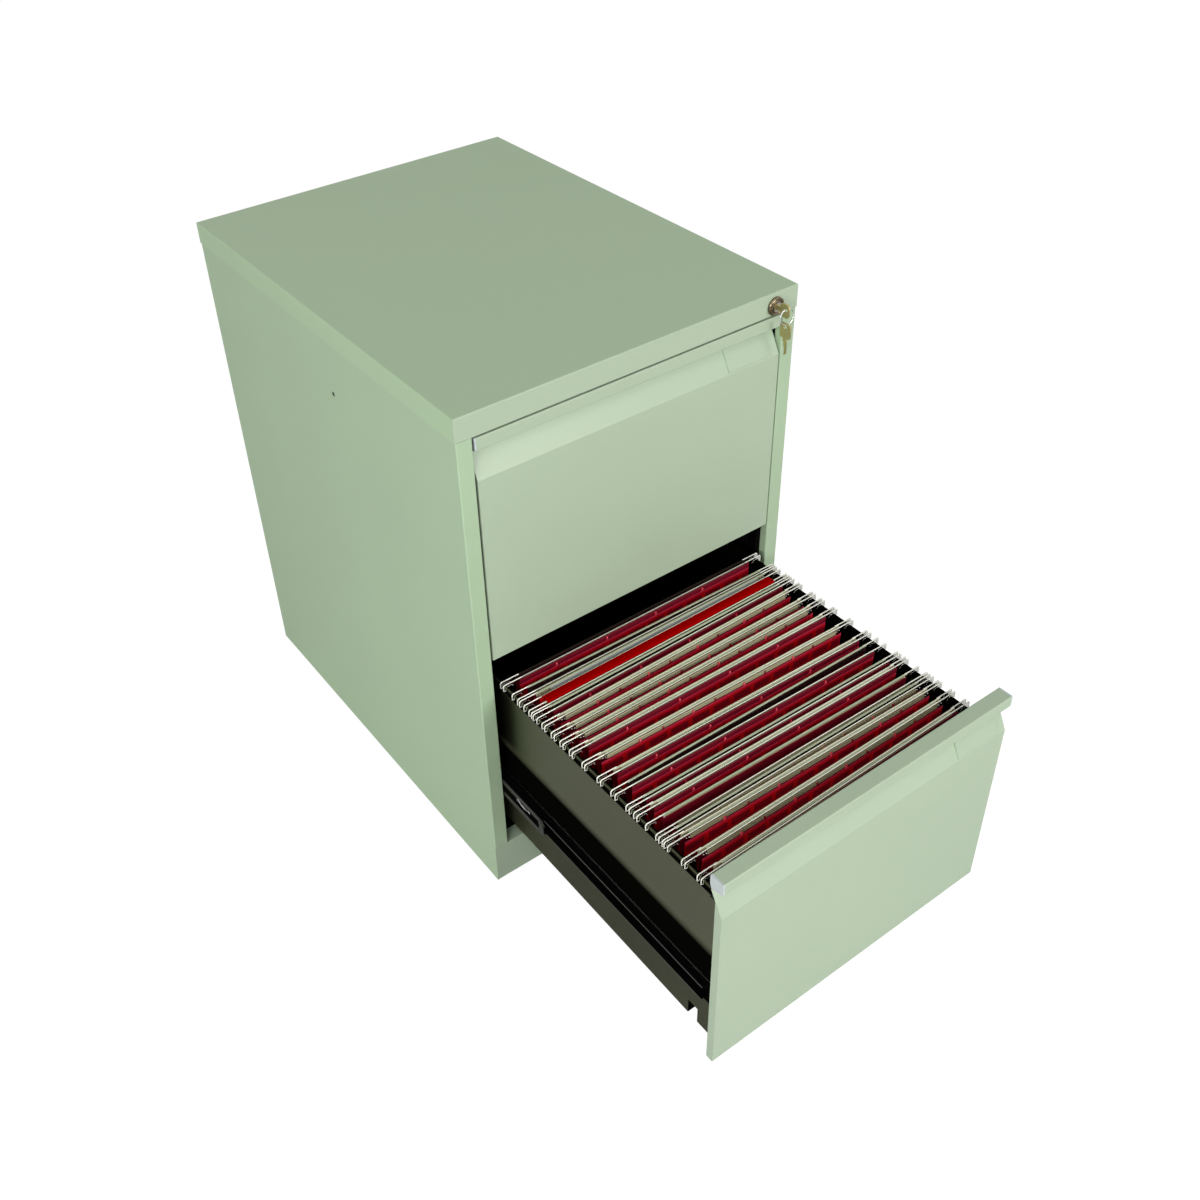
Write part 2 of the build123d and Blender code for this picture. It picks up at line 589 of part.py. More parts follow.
def bevel_strip(top, start, end, low, high):
    """Section of a strip on the bevel: start and end run down its slope, low and high lie above its skin."""
    slope = Vector(-RECESS_DEPTH, RECESS_TOP - BEVEL_BOTTOM) / BEVEL_LENGTH
    normal = Vector(slope.Y, -slope.X)
    corner = Vector(FRONT_PLANE + RECESS_DEPTH, top - RECESS_TOP)
    places = [(start, low), (end, low), (end, high), (start, high)]
    points = [corner + slope * run + normal * rise for run, rise in places]
    return make_face(Polyline(*[(point.X, point.Y) for point in points], close=True))


def build_label_holder(base, shift):
    top = base + FRONT_HEIGHT
    low_x, high_x = label_span()
    start = LABEL_TOP_EDGE
    end = BEVEL_LENGTH - LABEL_BOTTOM_EDGE
    holder = across(bevel_strip(top, start, end, 0, LABEL_THICKNESS), low_x, high_x)
    holder -= across(bevel_strip(top, start + LABEL_MARGIN, end - LABEL_MARGIN, 0, LABEL_POCKET),
                     low_x + LABEL_MARGIN, high_x - LABEL_MARGIN)
    holder &= block((low_x, FRONT_PLANE, base), (high_x, FRONT_PLANE + LIP_DEPTH, top))
    return Pos(0, -shift, 0) * holder


def build_label_card(base, shift):
    low_x, high_x = label_span()
    rim = LABEL_MARGIN + CARD_FIT
    strip = bevel_strip(base + FRONT_HEIGHT, LABEL_TOP_EDGE + rim, BEVEL_LENGTH - LABEL_BOTTOM_EDGE - rim,
                        0, CARD_THICKNESS)
    return Pos(0, -shift, 0) * across(strip, low_x + rim, high_x - rim)


def build_latch_bracket(base, shift):
    top = base + LATCH_RISE
    front_y = CATCH_FRONT + CATCH_THICKNESS + LATCH_GAP
    start = (SIDE_FACE, front_y, top - LATCH_HEIGHT)
    foot = block(start, (SIDE_FACE + LATCH_WALL, front_y + LATCH_FOOT, top))
    hook = block(start, (SIDE_FACE + LATCH_REACH, front_y + LATCH_WALL, top))
    return Pos(0, -shift, 0) * (foot + hook)


def build_lock_housing():
    bezel = rod_along(LOCK_X, FRONT_PLANE - BEZEL_THICKNESS, FRONT_PLANE, LOCK_Z, BEZEL_RADIUS)
    bezel = chamfer(bezel.edges().group_by(Axis.Y)[0], BEZEL_EDGE)
    barrel = rod_along(LOCK_X, FRONT_PLANE - SHEET, BARREL_REAR, LOCK_Z, BARREL_RADIUS)
    return bezel + barrel - rod_along(LOCK_X, PLUG_FACE, CAM_FRONT, LOCK_Z, PLUG_RADIUS + PLUG_FIT)


def build_lock_nut():
    plane = Plane(origin=(LOCK_X, FRONT_PLANE + SHEET, LOCK_Z), x_dir=(1, 0, 0), z_dir=(0, 1, 0))
    hexagon = RegularPolygon(NUT_ACROSS_FLATS / 2, 6, major_radius=False)
    nut = extrude(plane * hexagon, amount=NUT_THICKNESS)
    return nut - rod_along(LOCK_X, FRONT_PLANE, BARREL_REAR, LOCK_Z, BARREL_RADIUS + BARREL_HOLE_FIT)


def key_blade(fit):
    """The key's blade behind the plug's face, or with a clearance the slot that takes it."""
    half_wide = KEY_THICKNESS / 2 + fit
    half_high = KEY_BLADE_HEIGHT / 2 + fit
    return block((LOCK_X - half_wide, PLUG_FACE, LOCK_Z - half_high),
                 (LOCK_X + half_wide, PLUG_FACE + KEY_BLADE_LENGTH + fit, LOCK_Z + half_high))


def build_lock_cylinder():
    return rod_along(LOCK_X, PLUG_FACE, CAM_FRONT, LOCK_Z, PLUG_RADIUS) - key_blade(KEY_SLOT_FIT)


def crank_place():
    angle = radians(CRANK_START)
    return LOCK_X + CRANK_RADIUS * cos(angle), LOCK_Z + CRANK_RADIUS * sin(angle)


def build_lock_cam():
    pin_x, pin_z = crank_place()
    half_thick = CAM_THICKNESS / 2
    half_wide = CAM_ARM_WIDTH / 2
    arm = Rot(0, -CRANK_START, 0) * block((0, -half_thick, -half_wide), (CRANK_RADIUS, half_thick, half_wide))
    cam = rod_along(LOCK_X, CAM_FRONT, CAM_REAR, LOCK_Z, CAM_HUB_RADIUS)
    cam += Pos(LOCK_X, CAM_FRONT + half_thick, LOCK_Z) * arm
    cam += rod_along(pin_x, CAM_FRONT, CAM_REAR, pin_z, half_wide)
    return cam + rod_along(pin_x, CAM_FRONT, CAM_REAR + CRANK_PIN_LENGTH, pin_z, CRANK_PIN_RADIUS)


def build_lock_bar():
    pin_x, pin_z = crank_place()
    slot_half = CRANK_PIN_RADIUS + PIN_SLOT_FIT
    arm_front = CAM_REAR + LOCK_ARM_GAP
    arm_low = pin_z - slot_half - SLOT_WALL
    arm_high = pin_z + slot_half + SLOT_WALL
    foot = LOWER_BASE + LATCH_RISE - LOCK_BAR_FOOT_DROP
    slot_low_x = pin_x - slot_half - SLOT_END_ROOM
    slot_high_x = LOCK_X + CRANK_RADIUS + slot_half + SLOT_END_ROOM
    bar = block((LOCK_BAR_INNER, LOCK_BAR_FRONT, foot), (LOCK_BAR_OUTER, LOCK_BAR_BACK, arm_high))
    bar += block((slot_low_x - SLOT_WALL, arm_front, arm_low),
                 (LOCK_BAR_OUTER, arm_front + LOCK_ARM_THICKNESS, arm_high))
    bar -= block((slot_low_x, arm_front - SHEET, pin_z - slot_half),
                 (slot_high_x, arm_front + LOCK_ARM_THICKNESS + SHEET, pin_z + slot_half))
    for base in (LOWER_BASE, UPPER_BASE):
        catch_low = base + LATCH_RISE + CATCH_CLEARANCE
        bar += block((LOCK_BAR_INNER - CATCH_REACH, CATCH_FRONT, catch_low),
                     (LOCK_BAR_OUTER, CATCH_FRONT + CATCH_THICKNESS, catch_low + CATCH_HEIGHT))
    return bar


def build_lock_bar_guides():
    """Two straps fixed to the front upright, folded round the lock bar."""
    guides = []
    inner_x = LOCK_BAR_INNER - GUIDE_FIT
    outer_x = LOCK_BAR_OUTER + GUIDE_FIT
    front_y = LOCK_BAR_FRONT - GUIDE_FIT
    path = [(outer_x, UPRIGHT_FRONT), (outer_x, front_y), (inner_x, front_y), (inner_x, UPRIGHT_FRONT)]
    for rise in (LOWER_BASE + GUIDE_RISE, LOCK_Z - GUIDE_DROP):
        guides.append(upward(fold(path, GUIDE_WALL, bend=0), rise, rise + GUIDE_HEIGHT))
    return guides


def build_lock_key():
    low_x = LOCK_X - KEY_THICKNESS / 2
    high_x = LOCK_X + KEY_THICKNESS / 2
    bow_y = PLUG_FACE - KEY_NECK - KEY_BOW_RADIUS
    neck = block((low_x, bow_y, LOCK_Z - KEY_BLADE_HEIGHT / 2),
                 (high_x, PLUG_FACE, LOCK_Z + KEY_BLADE_HEIGHT / 2))
    bow = rod_across(low_x, high_x, bow_y, LOCK_Z, KEY_BOW_RADIUS)
    hole = rod_across(low_x, high_x, bow_y - KEY_HOLE_SETBACK, LOCK_Z, KEY_HOLE_RADIUS)
    return key_blade(0) + neck + bow - hole


def file_bar(y, rail_top):
    """A flat suspension bar standing on edge, with a hook at each end over the drawer's file rail."""
    top = rail_top + BAR_ARM
    tip = SIDE_FACE + HOOK_OVERHANG
    hook_inner = tip - HOOK_WIDTH
    arm_inner = hook_inner - BAR_ARM_LENGTH
    half_outline = [
        (0, top), (tip, top), (tip, top - HOOK_DROP), (hook_inner, top - HOOK_DROP),
        (hook_inner, rail_top), (arm_inner, rail_top), (arm_inner, top - BAR_HEIGHT), (0, top - BAR_HEIGHT),
    ]
    half = make_face(Polyline(*half_outline, close=True))
    corner = half.vertices().sort_by_distance((tip, top))[0]
    bar = along(chamfer(corner, HOOK_CORNER), y, y + BAR_THICKNESS)
    return bar + mirrored(bar)


def file_folder(front_y, rear_y, rail_top, floor_z):
    """A folded card hung on the outer faces of two bars, open at the top."""
    top = rail_top + BAR_ARM - FOLDER_TOP_DROP
    bend_z = top - FOLDER_STRAIGHT
    foot_z = floor_z + FOLDER_FLOOR_GAP
    middle = (front_y + rear_y) / 2
    half_foot = FOLDER_FOOT / 2
    outline = [
        (front_y - CARD_WALL, top), (front_y - CARD_WALL, bend_z), (middle - half_foot, foot_z),
        (middle + half_foot, foot_z), (rear_y + CARD_WALL, bend_z), (rear_y + CARD_WALL, top),
        (rear_y, top), (rear_y, bend_z), (middle + half_foot - CARD_WALL, foot_z + CARD_WALL),
        (middle - half_foot + CARD_WALL, foot_z + CARD_WALL), (front_y, bend_z), (front_y, top),
    ]
    half_width = SIDE_FACE + HOOK_OVERHANG - FOLDER_INSET
    return across(make_face(Polyline(*outline, close=True)), -half_width, half_width)


def build_files(base, shift):
    rail_top = base + FRONT_HEIGHT - FILE_RAIL_DROP
    floor_z = base + SIDE_BOTTOM_RISE + 2 * SHEET
    bars, folders = [], []
    for setback, spread in FILES:
        front_y = FRONT_PLANE - shift + setback
        rear_y = front_y + spread
        bars.append(file_bar(front_y, rail_top))
        bars.append(file_bar(rear_y - BAR_THICKNESS, rail_top))
        folders.append(file_folder(front_y, rear_y, rail_top, floor_z))
    return bars, folders


def build_drawer(level, base, shift):
    """All pieces of one drawer and of its runners, at the given opening."""
    right_side = build_right_drawer_side(base, shift)
    right_member = build_drawer_runner(base, shift)
    right_middle = build_middle_runner(base, MIDDLE_SHARE * shift)
    right_cabinet = build_cabinet_runner(base)
    pieces = {
        "drawer_front": build_drawer_front(base, shift),
        "drawer_front_backing": build_front_backing(base, shift),
        "pull_end_caps": build_pull_end_caps(base, shift),
        "drawer_left_side": mirrored(right_side),
        "drawer_right_side": right_side,
        "drawer_bottom": build_drawer_bottom(base, shift),
        "drawer_back": build_drawer_back(base, shift),
        "drawer_runner_left": mirrored(right_member),
        "drawer_runner_right": right_member,
        "label_holder": build_label_holder(base, shift),
        "label_card": build_label_card(base, shift),
        "latch_bracket": build_latch_bracket(base, shift),
        "middle_runner_left": mirrored(right_middle),
        "middle_runner_right": right_middle,
        "cabinet_runner_left": mirrored(right_cabinet),
        "cabinet_runner_right": right_cabinet,
        "outer_ball_cages": build_outer_cages(base, OUTER_CAGE_SHARE * shift),
        "inner_ball_cages": build_inner_cages(base, INNER_CAGE_SHARE * shift),
    }
    return {f"{level}_{name}": piece for name, piece in pieces.items()}


def build_cabinet():
    front_upright = build_upright(UPRIGHT_FRONT)
    rear_upright = build_upright(BACK_INNER - REAR_UPRIGHT_SETBACK - UPRIGHT_WIDTH)
    return {
        "top_panel": build_top_panel(),
        "left_side_panel": build_left_side_panel(),
        "right_side_panel": build_right_side_panel(),
        "back_panel": build_back_panel(),
        "base_panel": build_base_panel(),
        "front_plinth": build_front_plinth(),
        "left_front_upright": mirrored(front_upright),
        "right_front_upright": front_upright,
        "left_rear_upright": mirrored(rear_upright),
        "right_rear_upright": rear_upright,
        "floor_glides": build_floor_glides(),
        "lock_housing": build_lock_housing(),
        "lock_nut": build_lock_nut(),
        "lock_bar_guides": build_lock_bar_guides(),
    }


def build_lock():
    return {
        "lock_cylinder": build_lock_cylinder(),
        "lock_cam": build_lock_cam(),
        "lock_bar": build_lock_bar(),
        "lock_key": build_lock_key(),
    }


def main():
    nodes = build_cabinet()
    nodes.update(build_lock())
    nodes.update(build_drawer("upper", UPPER_BASE, 0.0))
    nodes.update(build_drawer("lower", LOWER_BASE, LOWER_OPENING))
    bars, folders = build_files(LOWER_BASE, LOWER_OPENING)
    nodes["file_bars"] = bars
    nodes["file_folders"] = folders
    os.makedirs("parts", exist_ok=True)
    for name, shape in nodes.items():
        if isinstance(shape, list):
            shape = Compound(children=shape)
        export_step(shape, f"parts/{name}.step")
    print(len(nodes), "nodes")


main()
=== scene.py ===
"""Dressed filing cabinet: finishes, suspension files, runner balls, lock face and keys on the CAD frame."""
import math

import bmesh
import bpy
from mathutils import Matrix, Vector


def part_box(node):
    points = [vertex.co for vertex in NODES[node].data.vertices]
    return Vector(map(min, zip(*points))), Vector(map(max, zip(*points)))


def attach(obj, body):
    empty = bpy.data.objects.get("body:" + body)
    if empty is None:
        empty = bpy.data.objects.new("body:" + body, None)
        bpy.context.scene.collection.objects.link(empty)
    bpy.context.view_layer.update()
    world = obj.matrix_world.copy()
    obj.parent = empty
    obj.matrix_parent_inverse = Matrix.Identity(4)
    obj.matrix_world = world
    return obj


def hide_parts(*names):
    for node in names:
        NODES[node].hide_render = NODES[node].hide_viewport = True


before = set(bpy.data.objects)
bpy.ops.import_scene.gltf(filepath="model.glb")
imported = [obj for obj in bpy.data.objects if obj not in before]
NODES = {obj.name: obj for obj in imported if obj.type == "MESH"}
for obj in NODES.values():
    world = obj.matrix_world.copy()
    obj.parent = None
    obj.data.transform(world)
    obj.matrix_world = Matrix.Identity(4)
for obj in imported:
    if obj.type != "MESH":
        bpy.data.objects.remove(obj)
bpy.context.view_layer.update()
LEVELS = ("upper", "lower")

# Camera, placed so that the photograph's straight edges fall on the cabinet's own
CAMERA_PLACE = (-0.77838, -1.28299, 1.39395)
CAMERA_TURN = (52.364, 1.767, -36.200)  # tilt up from straight down, roll and heading, degrees
CAMERA_LENS = 39.372
SENSOR = 36.0
SHIFT_X = 0.02663
SHIFT_Y = -0.03904

# Paint and metal, linear values
FRONT_GREEN = (0.452, 0.562, 0.408)
# The side and lid greens are the front's paint, toned apart per face as painted light to match the light on
# each
SIDE_GREEN_PAINTED_LIGHT = (0.445, 0.592, 0.392)
LID_GREEN_PAINTED_LIGHT = (0.468, 0.632, 0.402)
# Black of the black parts, and of the painted shade inside the cabinet and on the drawer sides
BLACK_PAINT_AND_SHADE = (0.0022, 0.0025, 0.0018)
# Olive of a painted reflection on the black drawer sides
OLIVE_PAINTED_REFLECTION = (0.121, 0.127, 0.073)

# Light and floor, in metres
AMBIENT = 0.24  # strength of the world's light on the object
FLOOR_HALF = 12.0
FLOOR_Z = -0.0002  # just under the glides
FLOOR_GLOW = 1.19  # strength that makes the floor render white
FLOOR_GLOW_SHARE = 0.80  # how much of the floor's look is its glow
LAMP_SIZE = 1.6
LAMP_TARGET = (0.0, -0.35, 0.4)

# Places on the cabinet where its paint changes, to painted shade inside or to the front's tone, in metres
SIDE_MIDDLE = 0.2335  # halfway through a side panel's sheet
STILE_BACK = -0.2905  # just behind the stile's returns
STILE_EDGE = 0.2152  # outer skin of the stile's return round the opening
STILE_FRONT = -0.3103  # just behind the stile's front skin
LIT_RETURN = -0.3000  # the right stile's return is lit green in front of this and painted shade behind it
LID_MIDDLE = 0.7105  # halfway through the lid's sheet
LID_SKIRT = 0.2345  # halfway through the lid's side skirts
LID_FRONT = 0.3105  # halfway through the lid's front and back skirts
FASCIA_FRONT = -0.3099  # just behind the front edge of the lid
BACK_MIDDLE = 0.3095  # halfway through the back panel's sheet
LEVEL_PITCH = 0.3085  # from the lower drawer up to the upper one
LOWER_BASE = 0.069  # lower edge of the lower front

# Heights above the lower edge of a drawer's own front, in metres, as the stretch over which something changes
SIDE_SWAGE = (0.1450, 0.1550)  # the side steps out here
SIDE_SHOULDER = (0.2525, 0.2555)  # and back in here, under the file rail
SIDE_SKIN = 0.1964  # in X, halfway through the drawer's side under its swage
SWAGE_STEP = 0.004  # how far the swage steps out
PAINTED_REFLECTION_START = (0.1560, 0.1700)  # the side's painted reflection comes in here; below it, down to the runner, the side is black painted shade
PAINTED_REFLECTION_END = (0.2510, 0.2522)
RAIL_PAINTED_HIGHLIGHT = (0.2552, 0.2590)  # the file rail's painted highlight
RAIL_FADE = 0.0014
RAIL_SHARE = 0.85  # strength of the painted reflection on the rail and the foot, where the side has 1
FOOT_END = (0.0640, 0.0655)  # the painted reflection at the side's foot ends here
FOOT_SHARE = 0.48

# The drawer's runner and its painted highlights, in metres
RUNNER_MIDDLE = 0.0939  # height of its middle, as the heights above
FLANGE_PAINTED_HIGHLIGHT = (0.0100, 0.0115)  # the flange's painted highlight line, from the runner's middle
FLANGE_INNER = 0.1990  # the painted highlight is at full strength inside this
FLANGE_TIP = (0.2079, 0.2090)  # in X, the flange's outer tip
FLANGE_FADE = 0.0002
WEB_INNER = 0.2116  # inner face of the middle runner's web
WEB_PAINTED_HIGHLIGHT = (0.0062, 0.0142)  # a painted highlight strip along the web, from the runner's middle
WEB_FADE = 0.0006
TIP_SHARE = 0.35  # strength of the painted highlight on the flange's tip and on the web's strips, where the flange has 1
STRIP_SHARE = 0.20


class Nodes:
    """Short calls that add shader or geometry nodes to a tree and link them."""

    def __init__(self, tree):
        self.tree = tree

    def add(self, kind, inputs=None, **settings):
        node = self.tree.nodes.new(kind)
        for name, value in settings.items():
            setattr(node, name, value)
        for name, value in (inputs or {}).items():
            self.feed(node.inputs[name], value)
        return node

    def feed(self, socket, value):
        if isinstance(value, bpy.types.NodeSocket):
            self.tree.links.new(value, socket)
        else:
            socket.default_value = value

    def math(self, operation, first, second=0.0, third=0.0):
        node = self.add("ShaderNodeMath", operation=operation)
        for index, value in enumerate((first, second, third)):
            self.feed(node.inputs[index], value)
        return node.outputs[0]

    def product(self, first, *others):
        for value in others:
            first = self.math("MULTIPLY", first, value)
        return first

    def largest(self, first, *others):
        for value in others:
            first = self.math("MAXIMUM", first, value)
        return first

    def below(self, value, limit):
        return self.math("LESS_THAN", value, limit)

    def above(self, value, limit):
        return self.math("GREATER_THAN", value, limit)

    def place(self, axis):
        """A point's coordinate along one axis of the cabinet's own frame, in metres."""
        everywhere = self.add("ShaderNodeTexCoord").outputs["Object"]
        return self.add("ShaderNodeSeparateXYZ", {"Vector": everywhere}).outputs[axis]

    def off_middle(self, axis):
        return self.math("ABSOLUTE", self.place(axis))

    def mix(self, factor, first, second):
        node = self.add("ShaderNodeMix", data_type="RGBA")
        self.feed(node.inputs["Factor"], factor)
        self.feed(node.inputs[6], first)
        self.feed(node.inputs[7], second)
        return node.outputs[2]

    def ramp(self, value, low, high, to_low=0.0, to_high=1.0):
        node = self.add("ShaderNodeMapRange", {"Value": value, "From Min": low, "From Max": high,
                                               "To Min": to_low, "To Max": to_high})
        return node.outputs["Result"]


def colour(rgb):
    return (*rgb, 1.0)


def shade_group(name, inputs, outputs):
    """A new shader node group with its sockets; gives its tree, its inputs and its output node."""
    tree = bpy.data.node_groups.new(name, "ShaderNodeTree")
    for label, kind, default in inputs:
        socket = tree.interface.new_socket(label, in_out="INPUT", socket_type=kind)
        socket.default_value = default
    for label, kind in outputs:
        tree.interface.new_socket(label, in_out="OUTPUT", socket_type=kind)
    nodes = Nodes(tree)
    source = nodes.add("NodeGroupInput")
    return nodes, source.outputs, nodes.add("NodeGroupOutput")


def make_orange_peel():
    """Sprayed paint: a fine ripple, slow changes of gloss and a faint change of tone."""
    nodes, given, result = shade_group(
        "orange_peel",
        [("Ripple", "NodeSocketFloat", 0.04), ("Gloss", "NodeSocketFloat", 0.35),
         ("Tone", "NodeSocketColor", colour(FRONT_GREEN)), ("Tone change", "NodeSocketFloat", 0.03)],
        [("Color", "NodeSocketColor"), ("Roughness", "NodeSocketFloat"), ("Normal", "NodeSocketVector")])
    place = nodes.add("ShaderNodeTexCoord").outputs["Object"]
    fine = nodes.add("ShaderNodeTexNoise", {"Vector": place, "Scale": 420.0, "Detail": 3.0})
    slow = nodes.add("ShaderNodeTexNoise", {"Vector": place, "Scale": 9.0, "Detail": 4.0})
    bump = nodes.add("ShaderNodeBump", {"Height": fine.outputs["Fac"], "Strength": given["Ripple"],
                                        "Distance": 0.0004})
    swing = nodes.math("SUBTRACT", slow.outputs["Fac"], 0.5)
    change = nodes.math("MULTIPLY", swing, given["Tone change"])
    lift = nodes.math("MULTIPLY_ADD", change, 2.0, 1.0)
    tone = nodes.add("ShaderNodeVectorMath", {0: given["Tone"], "Scale": lift}, operation="SCALE")
    rough = nodes.math("MULTIPLY_ADD", swing, 0.16, given["Gloss"])
    nodes.feed(result.inputs["Color"], tone.outputs[0])
    nodes.feed(result.inputs["Roughness"], rough)
    nodes.feed(result.inputs["Normal"], bump.outputs["Normal"])
    return nodes.tree


def make_rub_marks():
    """Metal rubbed along one way: long fine streaks for the roughness and the bump."""
    nodes, given, result = shade_group(
        "rub_marks",
        [("Stretch", "NodeSocketVector", (4.0, 900.0, 900.0)), ("Low gloss", "NodeSocketFloat", 0.2),
         ("High gloss", "NodeSocketFloat", 0.45), ("Depth", "NodeSocketFloat", 0.05)],
        [("Streak", "NodeSocketFloat"), ("Roughness", "NodeSocketFloat"), ("Normal", "NodeSocketVector")])
    place = nodes.add("ShaderNodeTexCoord").outputs["Object"]
    stretched = nodes.add("ShaderNodeVectorMath", {0: place, 1: given["Stretch"]}, operation="MULTIPLY")
    streak = nodes.add("ShaderNodeTexNoise", {"Vector": stretched.outputs[0], "Scale": 1.0, "Detail": 4.0})
    rough = nodes.add("ShaderNodeMapRange", {"Value": streak.outputs["Fac"], "From Min": 0.3, "From Max": 0.7,
                                             "To Min": given["Low gloss"], "To Max": given["High gloss"]})
    bump = nodes.add("ShaderNodeBump", {"Height": streak.outputs["Fac"], "Strength": given["Depth"],
                                        "Distance": 0.0003})
    nodes.feed(result.inputs["Streak"], streak.outputs["Fac"])
    nodes.feed(result.inputs["Roughness"], rough.outputs["Result"])
    nodes.feed(result.inputs["Normal"], bump.outputs["Normal"])
    return nodes.tree


ORANGE_PEEL = make_orange_peel()
RUB_MARKS = make_rub_marks()


def new_material(name):
    """A material with a bare Principled shader; gives it, its node helper and the shader."""
    material = bpy.data.materials.new(name)
    material.use_nodes = True
    nodes = Nodes(material.node_tree)
    return material, nodes, material.node_tree.nodes["Principled BSDF"]


def surface(nodes, shader, skin, roughness, normal):
    """Feeds the shader what changes over the surface."""
    for socket, value in (("Base Color", skin), ("Roughness", roughness), ("Normal", normal)):
        nodes.feed(shader.inputs[socket], value)


def shared_group(nodes, tree, **values):
    """One of the shared groups in a material, with the material's own values."""
    group = nodes.add("ShaderNodeGroup", node_tree=tree)
    for name, value in values.items():
        group.inputs[name.replace("_", " ")].default_value = value
    return group.outputs


def painted(name, tone, gloss, ripple=0.04, tone_change=0.03, inner=None, specular=0.5, metallic=0.0,
            front=None):
    """Sprayed paint. inner makes the mask of the painted shade inside, in black; front is the tone of the
    front edge, set for the light on the front.
    """
    material, nodes, shader = new_material(name)
    peel = shared_group(nodes, ORANGE_PEEL, Ripple=ripple, Gloss=gloss, Tone=colour(tone),
                        Tone_change=tone_change)
    skin = peel["Color"]
    if front:
        skin = nodes.mix(nodes.below(nodes.place("Y"), FASCIA_FRONT), skin, colour(front))
    if inner:
        skin = nodes.mix(inner(nodes), skin, colour(BLACK_PAINT_AND_SHADE))
    surface(nodes, shader, skin, peel["Roughness"], peel["Normal"])
    shader.inputs["Specular IOR Level"].default_value = specular
    shader.inputs["Metallic"].default_value = metallic
    return material


def black_with_painted_reflection(name, dark, bright, gloss, mask, ripple=0.05):
    """Black paint with a painted reflection or highlight in the bright tone where the mask is 1, and dead
    black where it is 0.
    """
    material, nodes, shader = new_material(name)
    peel = shared_group(nodes, ORANGE_PEEL, Ripple=ripple, Gloss=gloss, Tone=colour(bright), Tone_change=0.10)
    reflection_mask = mask(nodes)
    skin = nodes.mix(reflection_mask, colour(dark), peel["Color"])
    surface(nodes, shader, skin, peel["Roughness"], peel["Normal"])
    nodes.feed(shader.inputs["Metallic"], reflection_mask)
    shader.inputs["Specular IOR Level"].default_value = 0.0
    return material


def metal(name, tone, stretch, low, high, depth=0.05, dull=0.75):
    """Bare or plated metal with rub marks; dull is how dark the streaks go."""
    material, nodes, shader = new_material(name)
    marks = shared_group(nodes, RUB_MARKS, Stretch=stretch, Low_gloss=low, High_gloss=high, Depth=depth)
    dark = [value * dull for value in tone]
    skin = nodes.mix(marks["Streak"], colour(dark), colour(tone))
    surface(nodes, shader, skin, marks["Roughness"], marks["Normal"])
    shader.inputs["Metallic"].default_value = 1.0
    return material


def between_ramps(nodes, value, low, high):
    """1 between two stretches, rising over the first and falling over the second."""
    return nodes.product(nodes.ramp(value, *low), nodes.ramp(value, *high, 1.0, 0.0))


def band(nodes, value, limits, soft):
    """1 from the low limit to the high one, fading over soft at each end."""
    low, high = limits
    return between_ramps(nodes, value, (low, low + soft), (high - soft, high))


def side_inner_painted_shade(nodes):
    """Painted shade: 1 on the inner face of a side panel and on its stile's returns, but for the right one's
    lit front part.
    """
    across, along = nodes.off_middle("X"), nodes.place("Y")
    wall = nodes.product(nodes.below(across, SIDE_MIDDLE), nodes.above(along, STILE_BACK))
    lit = nodes.product(nodes.above(nodes.place("X"), 0.0), nodes.below(along, LIT_RETURN))
    edge = nodes.product(nodes.below(across, STILE_EDGE), nodes.above(along, STILE_FRONT),
                         nodes.math("SUBTRACT", 1.0, lit))
    return nodes.largest(wall, edge)


def level_height(nodes):
    """Height above the lower edge of the drawer's own front, the same for both drawers."""
    level = nodes.math("DIVIDE", nodes.math("SUBTRACT", nodes.place("Z"), LOWER_BASE), LEVEL_PITCH)
    return nodes.product(nodes.math("FRACT", level), LEVEL_PITCH)


def drawer_painted_reflection(nodes):
    """Painted reflection: 1 on a drawer's outer side above its runner's recess, less on the file rail and the
    foot, 0 inside; the 0 under the swage is painted shade.
    """
    height = level_height(nodes)
    step = nodes.math("SUBTRACT", nodes.ramp(height, *SIDE_SWAGE), nodes.ramp(height, *SIDE_SHOULDER))
    outer = nodes.above(nodes.off_middle("X"), nodes.math("MULTIPLY_ADD", step, SWAGE_STEP, SIDE_SKIN))
    wall = between_ramps(nodes, height, PAINTED_REFLECTION_START, PAINTED_REFLECTION_END)
    rail = nodes.product(band(nodes, height, RAIL_PAINTED_HIGHLIGHT, RAIL_FADE), RAIL_SHARE)
    foot = nodes.product(nodes.ramp(height, *FOOT_END, 1.0, 0.0), FOOT_SHARE)
    return nodes.product(nodes.largest(wall, rail, foot), outer)


def runner_painted_highlights(nodes):
    """Painted highlights: 1 on lines along the edges of the drawer's runner, less on the two strips along the
    middle runner's web.
    """
    lift = nodes.math("ABSOLUTE", nodes.math("SUBTRACT", level_height(nodes), RUNNER_MIDDLE))
    across = nodes.off_middle("X")
    tip = nodes.product(band(nodes, across, FLANGE_TIP, FLANGE_FADE), TIP_SHARE)
    flange = nodes.product(band(nodes, lift, FLANGE_PAINTED_HIGHLIGHT, FLANGE_FADE),
                           nodes.largest(nodes.below(across, FLANGE_INNER), tip))
    strip = nodes.product(band(nodes, lift, WEB_PAINTED_HIGHLIGHT, WEB_FADE), nodes.above(across, WEB_INNER), STRIP_SHARE)
    return nodes.largest(flange, strip)


def lid_inner_painted_shade(nodes):
    """Painted shade: 1 under the lid and inside its skirts."""
    return nodes.product(nodes.below(nodes.place("Z"), LID_MIDDLE),
                         nodes.below(nodes.off_middle("X"), LID_SKIRT),
                         nodes.below(nodes.off_middle("Y"), LID_FRONT))


def back_inner_painted_shade(nodes):
    """Painted shade: 1 on the inner side of the back panel."""
    return nodes.below(nodes.place("Y"), BACK_MIDDLE)


